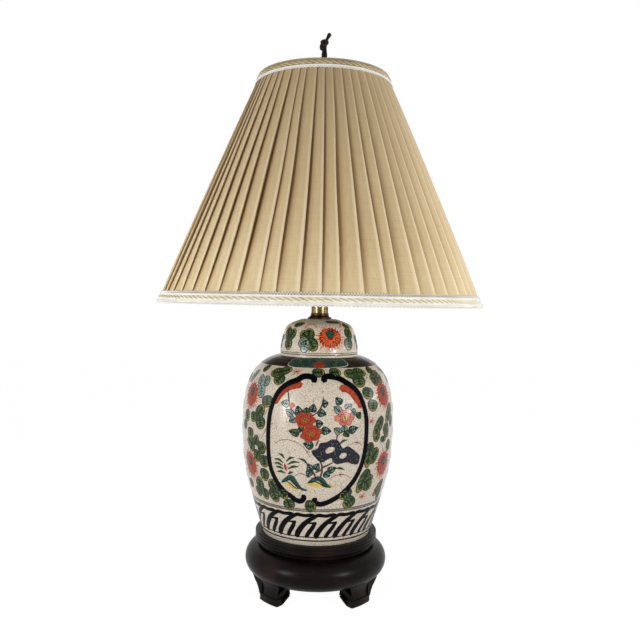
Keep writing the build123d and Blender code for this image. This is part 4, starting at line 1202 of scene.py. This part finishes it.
def pleated_cover():
    """Cloth in knife pleats that fan out down the shade, none quite like the next."""
    chance = random.Random(7)
    shift_low, shift_high = ([chance.gauss(0, size) for _ in range(PLEATS)] for size in PLEAT_SHIFTS)
    depth, lift = ([chance.uniform(*span) for _ in range(PLEATS)] for span in (PLEAT_DEPTHS, PLEAT_RISES))
    sway_spans = ((-PLEAT_SWAY, PLEAT_SWAY), (0, TAU), SWAY_WAVES)
    sway = [[chance.uniform(*span) for span in sway_spans] for _ in range(PLEATS)]
    columns = PLEATS * len(PLEAT_SECTION)
    vertices, folds, heights = [], [], []
    for row in range(PLEAT_ROWS):
        share = row / (PLEAT_ROWS - 1)
        height = cover_low.z + (cover_high.z - cover_low.z) * share
        outer = fold_radius(height)
        free = max(0.0, math.sin(math.pi * (share - TRIM_SHARE) / (1 - 2 * TRIM_SHARE))) ** 0.5
        starts = []
        for pleat in range(PLEATS):
            size, phase, waves = sway[pleat]
            wander = size * math.sin(phase + TAU * waves * share) * math.sin(math.pi * share)
            starts.append(pleat + shift_low[pleat] * (1 - share) + shift_high[pleat] * share + wander)
        starts.append(starts[0] + PLEATS)
        for pleat in range(PLEATS):
            width = starts[pleat + 1] - starts[pleat]
            pressed = TRIM_PRESS + (1 - TRIM_PRESS) * free
            step = PLEAT_DEPTH * depth[pleat] * pressed * math.sqrt(outer / fold_low)
            for across, rise in PLEAT_SECTION:
                folds.append(1 - (1 - rise) * (0.5 + 0.5 * free))
                heights.append(share)
                angle = TAU * (starts[pleat] + across * width) / PLEATS
                radius = outer + PLEAT_RISE * lift[pleat] * free - step * (1 - rise)
                vertices.append(polar(radius, angle, height))
    faces = ring_faces(PLEAT_ROWS, columns)
    piece = new_object("pleated_cover", vertices, faces, pleat_cloth, sharp_angle=60)
    # fold and height drive painted shade and a painted highlight in the cloth's material
    for attribute, values in (("fold", folds), ("height", heights)):
        piece.data.attributes.new(attribute, "FLOAT", "POINT").data.foreach_set("value", values)
    chart_by_place(piece, columns)
    thicken(piece)
    return piece


def chart_by_place(piece, columns):
    """Map of a conical sheet: length round it across, and length up it along."""
    layer = piece.data.uv_layers.new(name="cloth")
    for polygon in piece.data.polygons:
        for corner, loop in zip(polygon.vertices, polygon.loop_indices):
            column, point = corner % columns, piece.data.vertices[corner].co
            if column == 0 and max(polygon.vertices) % columns == columns - 1:
                column = columns
            mean = (fold_low + fold_high) / 2
            layer.data[loop].uv = (TAU * mean * column / columns, (point.z - cover_low.z) / shade_cosine)


def thicken(piece):
    """Gives a sheet its thickness, inwards."""
    modifier = piece.modifiers.new("thickness", "SOLIDIFY")
    modifier.thickness = CLOTH
    modifier.offset = -1


def lining_sheet():
    """Plain cloth cone inside the wire frame, in panels that dip a little between the ribs."""
    columns, rows, panels, dip, inset = 192, 25, 8, 0.5 * MM, 0.1 * MM
    top, bottom = lining_high.z, lining_low.z
    radius_low = reach("shade_lining", bottom)
    radius_high = reach("shade_lining", top)
    vertices = []
    for row in range(rows):
        share = row / (rows - 1)
        for column in range(columns):
            angle = TAU * column / columns
            slack = dip * math.sin(panels * angle / 2) ** 2 * math.sin(math.pi * share)
            radius = radius_low + (radius_high - radius_low) * share - inset - slack
            height = bottom + (top - bottom) * share
            vertices.append(polar(radius, angle, height))
    piece = new_object("lining_sheet", vertices, ring_faces(rows, columns), lining_cloth)
    chart_by_place(piece, columns)
    thicken(piece)
    return piece


# Braid, in millimetres
TRIM_WIDTH = 14
HEM = 6  # of the upper trim, turned in over the ring
STITCH, SCALLOP, LAY = 3.4, 4.4, 17  # lengths along the edge
STITCH_STEPS, SCALLOP_STEPS, LAY_STEPS = 6, 8, 20  # points of a yarn for each of these
PICOTS = {"top": 1.0, "bottom": 3.0}
SCALLOP_DEPTH = 1.5
GROUND_INSETS = (1.6, 1.4)  # from the lower and the upper edge of the trim
HEM_INSET = 1.9
LOWER_CORDS = (2.4, 3.7)  # from the lower edge
UPPER_CORD = 1.8  # from the upper edge
PICOT_INSET, SCALLOP_INSET = 1.3, 1.5
CORD_LIFT, ROPE_LIFT = 1.05, 1.0
ROPE_PLACE, ROPE_HALF_WIDTH, ROPE_HALF_DEPTH = 1.0, 1.6, 0.5
GROUND_LIFTS = (0.25, 0.7)
STRAND_SWELL = 0.22
RIBBON_STEPS = 360


class Braid:
    """Trim round an edge of the shade, worked in place: across it, along it and off the cloth."""

    def __init__(self, edge):
        low, high = trim_box[edge]
        self.edge = edge
        self.middle = (low.z + high.z) / 2
        self.radius = fold_radius(self.middle)
        # the top trim's ground, picots, upper cord and rope strands take the painted-shade copy of the white
        # braid
        self.ground = braid_painted_shade if edge == "top" else braid_white
        self.vertices = {braid_white: [], braid_gold: [], braid_painted_shade: []}
        self.faces = {braid_white: [], braid_gold: [], braid_painted_shade: []}

    def place(self, angle, across, lift):
        """Point at an angle, up the slope from the middle of the trim, and off the folds."""
        across, lift = across * MM * shade_cosine, lift * MM * shade_cosine
        radius = self.radius - across * shade_lean + lift
        return polar(radius, angle, self.middle + across + lift * shade_lean)

    def loop(self, material, rings):
        """Closed tube through rings of points."""
        vertices = self.vertices[material]
        self.faces[material] += ring_faces(len(rings), len(rings[0]), close_rows=True, first=len(vertices))
        for ring in rings:
            vertices.extend(ring)

    def yarn(self, material, path, thickness, steps, sides=6, twist=0.0):
        """Yarn all round along a path of (across, lift) by angle, laid in two strands where it is twisted."""
        rings = []
        for step in range(steps):
            angle = TAU * step / steps
            across, lift = path(angle)
            ring = []
            for side in range(sides):
                bearing = TAU * side / sides
                swell = 1 + STRAND_SWELL * math.cos(2 * (bearing - twist * angle)) if twist else 1
                size = thickness / 2 * swell
                spot = (across + size * math.cos(bearing), lift + size * math.sin(bearing))
                ring.append(self.place(angle, *spot))
            rings.append(ring)
        self.loop(material, rings)

    def ribbon(self, below, above, low, high):
        """Flat woven ground of the braid."""
        section = [(below, low), (above, low), (above, high), (below, high)]
        angles = [TAU * step / RIBBON_STEPS for step in range(RIBBON_STEPS)]
        self.loop(self.ground, [[self.place(angle, *spot) for spot in section] for angle in angles])

    def build(self):
        girth = TAU * self.radius / MM
        stitches, scallops, lays = (round(girth / length) for length in (STITCH, SCALLOP, LAY))
        half = TRIM_WIDTH / 2
        ground_low, ground_high = GROUND_INSETS[0] - half, half - GROUND_INSETS[1]
        self.ribbon(ground_low, ground_high, *GROUND_LIFTS)
        if self.edge == "top":
            self.ribbon(half - HEM_INSET, ground_high, -HEM, GROUND_LIFTS[0])

        def cord(across):
            return lambda angle: (across, CORD_LIFT)

        def wave(across, size, count):
            return lambda angle: (across + size * abs(math.sin(angle * count / 2)), ROPE_LIFT)

        def strand(start):
            def path(angle):
                bearing = lays * angle + TAU * start
                across = ROPE_PLACE + ROPE_HALF_WIDTH * math.cos(bearing)
                return (across, ROPE_LIFT + ROPE_HALF_DEPTH * math.sin(bearing))

            return path

        stitch_steps = stitches * STITCH_STEPS
        twisted = {"steps": stitch_steps, "twist": stitches / 2}
        self.yarn(self.ground, cord(half - UPPER_CORD), 1.3, **twisted)
        for inset in LOWER_CORDS:
            self.yarn(braid_white, cord(inset - half), 1.4, **twisted)
        picots = wave(half - PICOT_INSET, PICOTS[self.edge], stitches)
        self.yarn(self.ground, picots, 1.6, stitch_steps, sides=5)
        edging = wave(SCALLOP_INSET - half, -SCALLOP_DEPTH, scallops)
        self.yarn(braid_white, edging, 1.3, scallops * SCALLOP_STEPS)
        for number in range(4):
            material, thickness = ((self.ground, 1.7), (braid_gold, 1.5))[number % 2]
            self.yarn(material, strand(number / 4), thickness, lays * LAY_STEPS)
        made = []
        for material, suffix in ((braid_white, ""), (braid_gold, "_gold"), (braid_painted_shade, "_tan")):
            if self.faces[material]:
                shape = (self.vertices[material], self.faces[material], material)
                made.append(new_object(f"trim_{self.edge}{suffix}", *shape, sharp_angle=80))
        seat(made[0], "shade", "braid", f"shade_trim_{self.edge}")
        for piece in made[1:]:
            seat(piece, "shade", "braid")
        return made


cover = pleated_cover()
seat(cover, "shade", "pleated_cloth", "shade_cover")
lining = lining_sheet()
seat(lining, "shade", "lining_cloth", "shade_lining")
trims = Braid("top").build() + Braid("bottom").build()


# Carved ear on the left or right side of each foot: distance from the middle of the foot, and height
FOOT_EAR = [(13, 8), (17, 8.5), (19, 14), (22.5, 20), (26, 23.5), (30.5, 29.5), (28, 31), (24, 29), (13, 29)]
EAR_BACK = 78.5 * MM
EAR_FACE = 83.4 * MM


def foot_ears():
    vertices, faces = [], []
    count = len(FOOT_EAR)
    for quarter in range(4):
        turn = Matrix.Rotation(math.radians(45 + 90 * quarter), 3, "Z")
        side = 1 if quarter % 2 else -1
        for radius in (EAR_BACK, EAR_FACE):
            for across, height in FOOT_EAR:
                vertices.append(turn @ Vector((radius, side * across * MM, height * MM)))
        first = len(vertices) - 2 * count
        back = list(range(first, first + count))
        face = list(range(first + count, first + 2 * count))
        loops = [back[::-1], face]
        for n in range(count):
            loops.append([back[n - 1], back[n], face[n], face[n - 1]])
        faces.extend(loop if side > 0 else loop[::-1] for loop in loops)
    return new_object("foot_ears", vertices, faces, wood)


seat(foot_ears(), "base", "dark_wood")


# Floor, light and camera


def seen_directly(shading):
    """1 for what the camera sees itself, in gloss or through glass, and 0 for light on other surfaces."""
    rays = shading.add("ShaderNodeLightPath").outputs
    either = shading.math("MAXIMUM", rays["Is Camera Ray"], rays["Is Glossy Ray"])
    return shading.math("MAXIMUM", either, rays["Is Transmission Ray"])


FLOOR_WHITE = 0.88  # of what is seen of the floor
WHITE_GLOW = 1.1


def floor_material():
    """Pale floor that is seen as white, with the lamp's soft shadow kept."""
    shading = Shading.material("floor")
    tree = shading.tree
    grain = shading.noise(90.0)
    shading.finish(Base_Color=shading.mix(grain, srgb(236, 236, 236), srgb(228, 228, 228)), Roughness=0.9)
    white = shading.add("ShaderNodeEmission", Color=(1, 1, 1, 1), Strength=WHITE_GLOW)
    blend = shading.add("ShaderNodeMixShader", Fac=shading.times(seen_directly(shading), FLOOR_WHITE))
    tree.links.new(shading.shader.outputs["BSDF"], blend.inputs[1])
    tree.links.new(white.outputs["Emission"], blend.inputs[2])
    tree.links.new(blend.outputs["Shader"], tree.nodes["Material Output"].inputs["Surface"])
    return shading.owner


def white_world(fill):
    """World that is seen as white, and is an even fill to everything else."""
    shading = Shading(bpy.data.worlds.new("studio"))
    level = shading.ramp(seen_directly(shading), 0.0, 1.0, fill, 1.0)
    bpy.context.scene.world = shading.finish(Color=(1, 1, 1, 1), Strength=level)


def softbox(name, bearing, distance, height, size, power, aim, spread=180):
    """Square soft light, at a bearing to the right of the camera's side, aimed at a height on the axis."""
    light = bpy.data.lights.new(name, "AREA")
    light.size = size
    light.energy = power
    light.spread = math.radians(spread)
    lamp = bpy.data.objects.new(name, light)
    angle = math.radians(bearing)
    lamp.location = from_front(distance, angle, height)
    lamp.rotation_euler = (Vector((0, 0, aim)) - lamp.location).to_track_quat("-Z", "Y").to_euler()
    bpy.context.scene.collection.objects.link(lamp)


FLOOR_SIZE = 12.0
WORLD_FILL = 0.22
corner = FLOOR_SIZE / 2
floor_corners = [(-corner, -corner, 0), (corner, -corner, 0), (corner, corner, 0), (-corner, corner, 0)]
floor = new_object("floor", floor_corners, [(0, 1, 2, 3)], floor_material())
white_world(WORLD_FILL)
softbox("left_box", bearing=-46, distance=1.25, height=0.36, size=0.22, power=7.4, aim=0.28)
softbox("right_box", bearing=44, distance=1.25, height=0.36, size=0.2, power=6.8, aim=0.28)
softbox("left_side", bearing=-84, distance=1.2, height=0.60, size=0.5, power=0.24, aim=0.58, spread=34)
softbox("right_side", bearing=92, distance=1.2, height=0.60, size=0.5, power=0.5, aim=0.58, spread=34)

view = bpy.data.cameras.new("photo_view")
view.sensor_width = 36.0
view.lens = view.sensor_width * FOCAL_PIXELS / IMAGE_SIZE
view.shift_y = (AXIS_PIXEL[1] - IMAGE_SIZE / 2) / IMAGE_SIZE
camera = bpy.data.objects.new("photo_view", view)
level_view = Matrix.Translation(CAMERA_PLACE) @ Matrix.Rotation(math.radians(90), 4, "X")
camera.matrix_world = level_view @ Matrix.Rotation(CAMERA_ROLL, 4, "Z")
bpy.context.scene.collection.objects.link(camera)
bpy.context.scene.camera = camera
bpy.context.scene.view_settings.view_transform = "Standard"

bpy.context.view_layer.update()
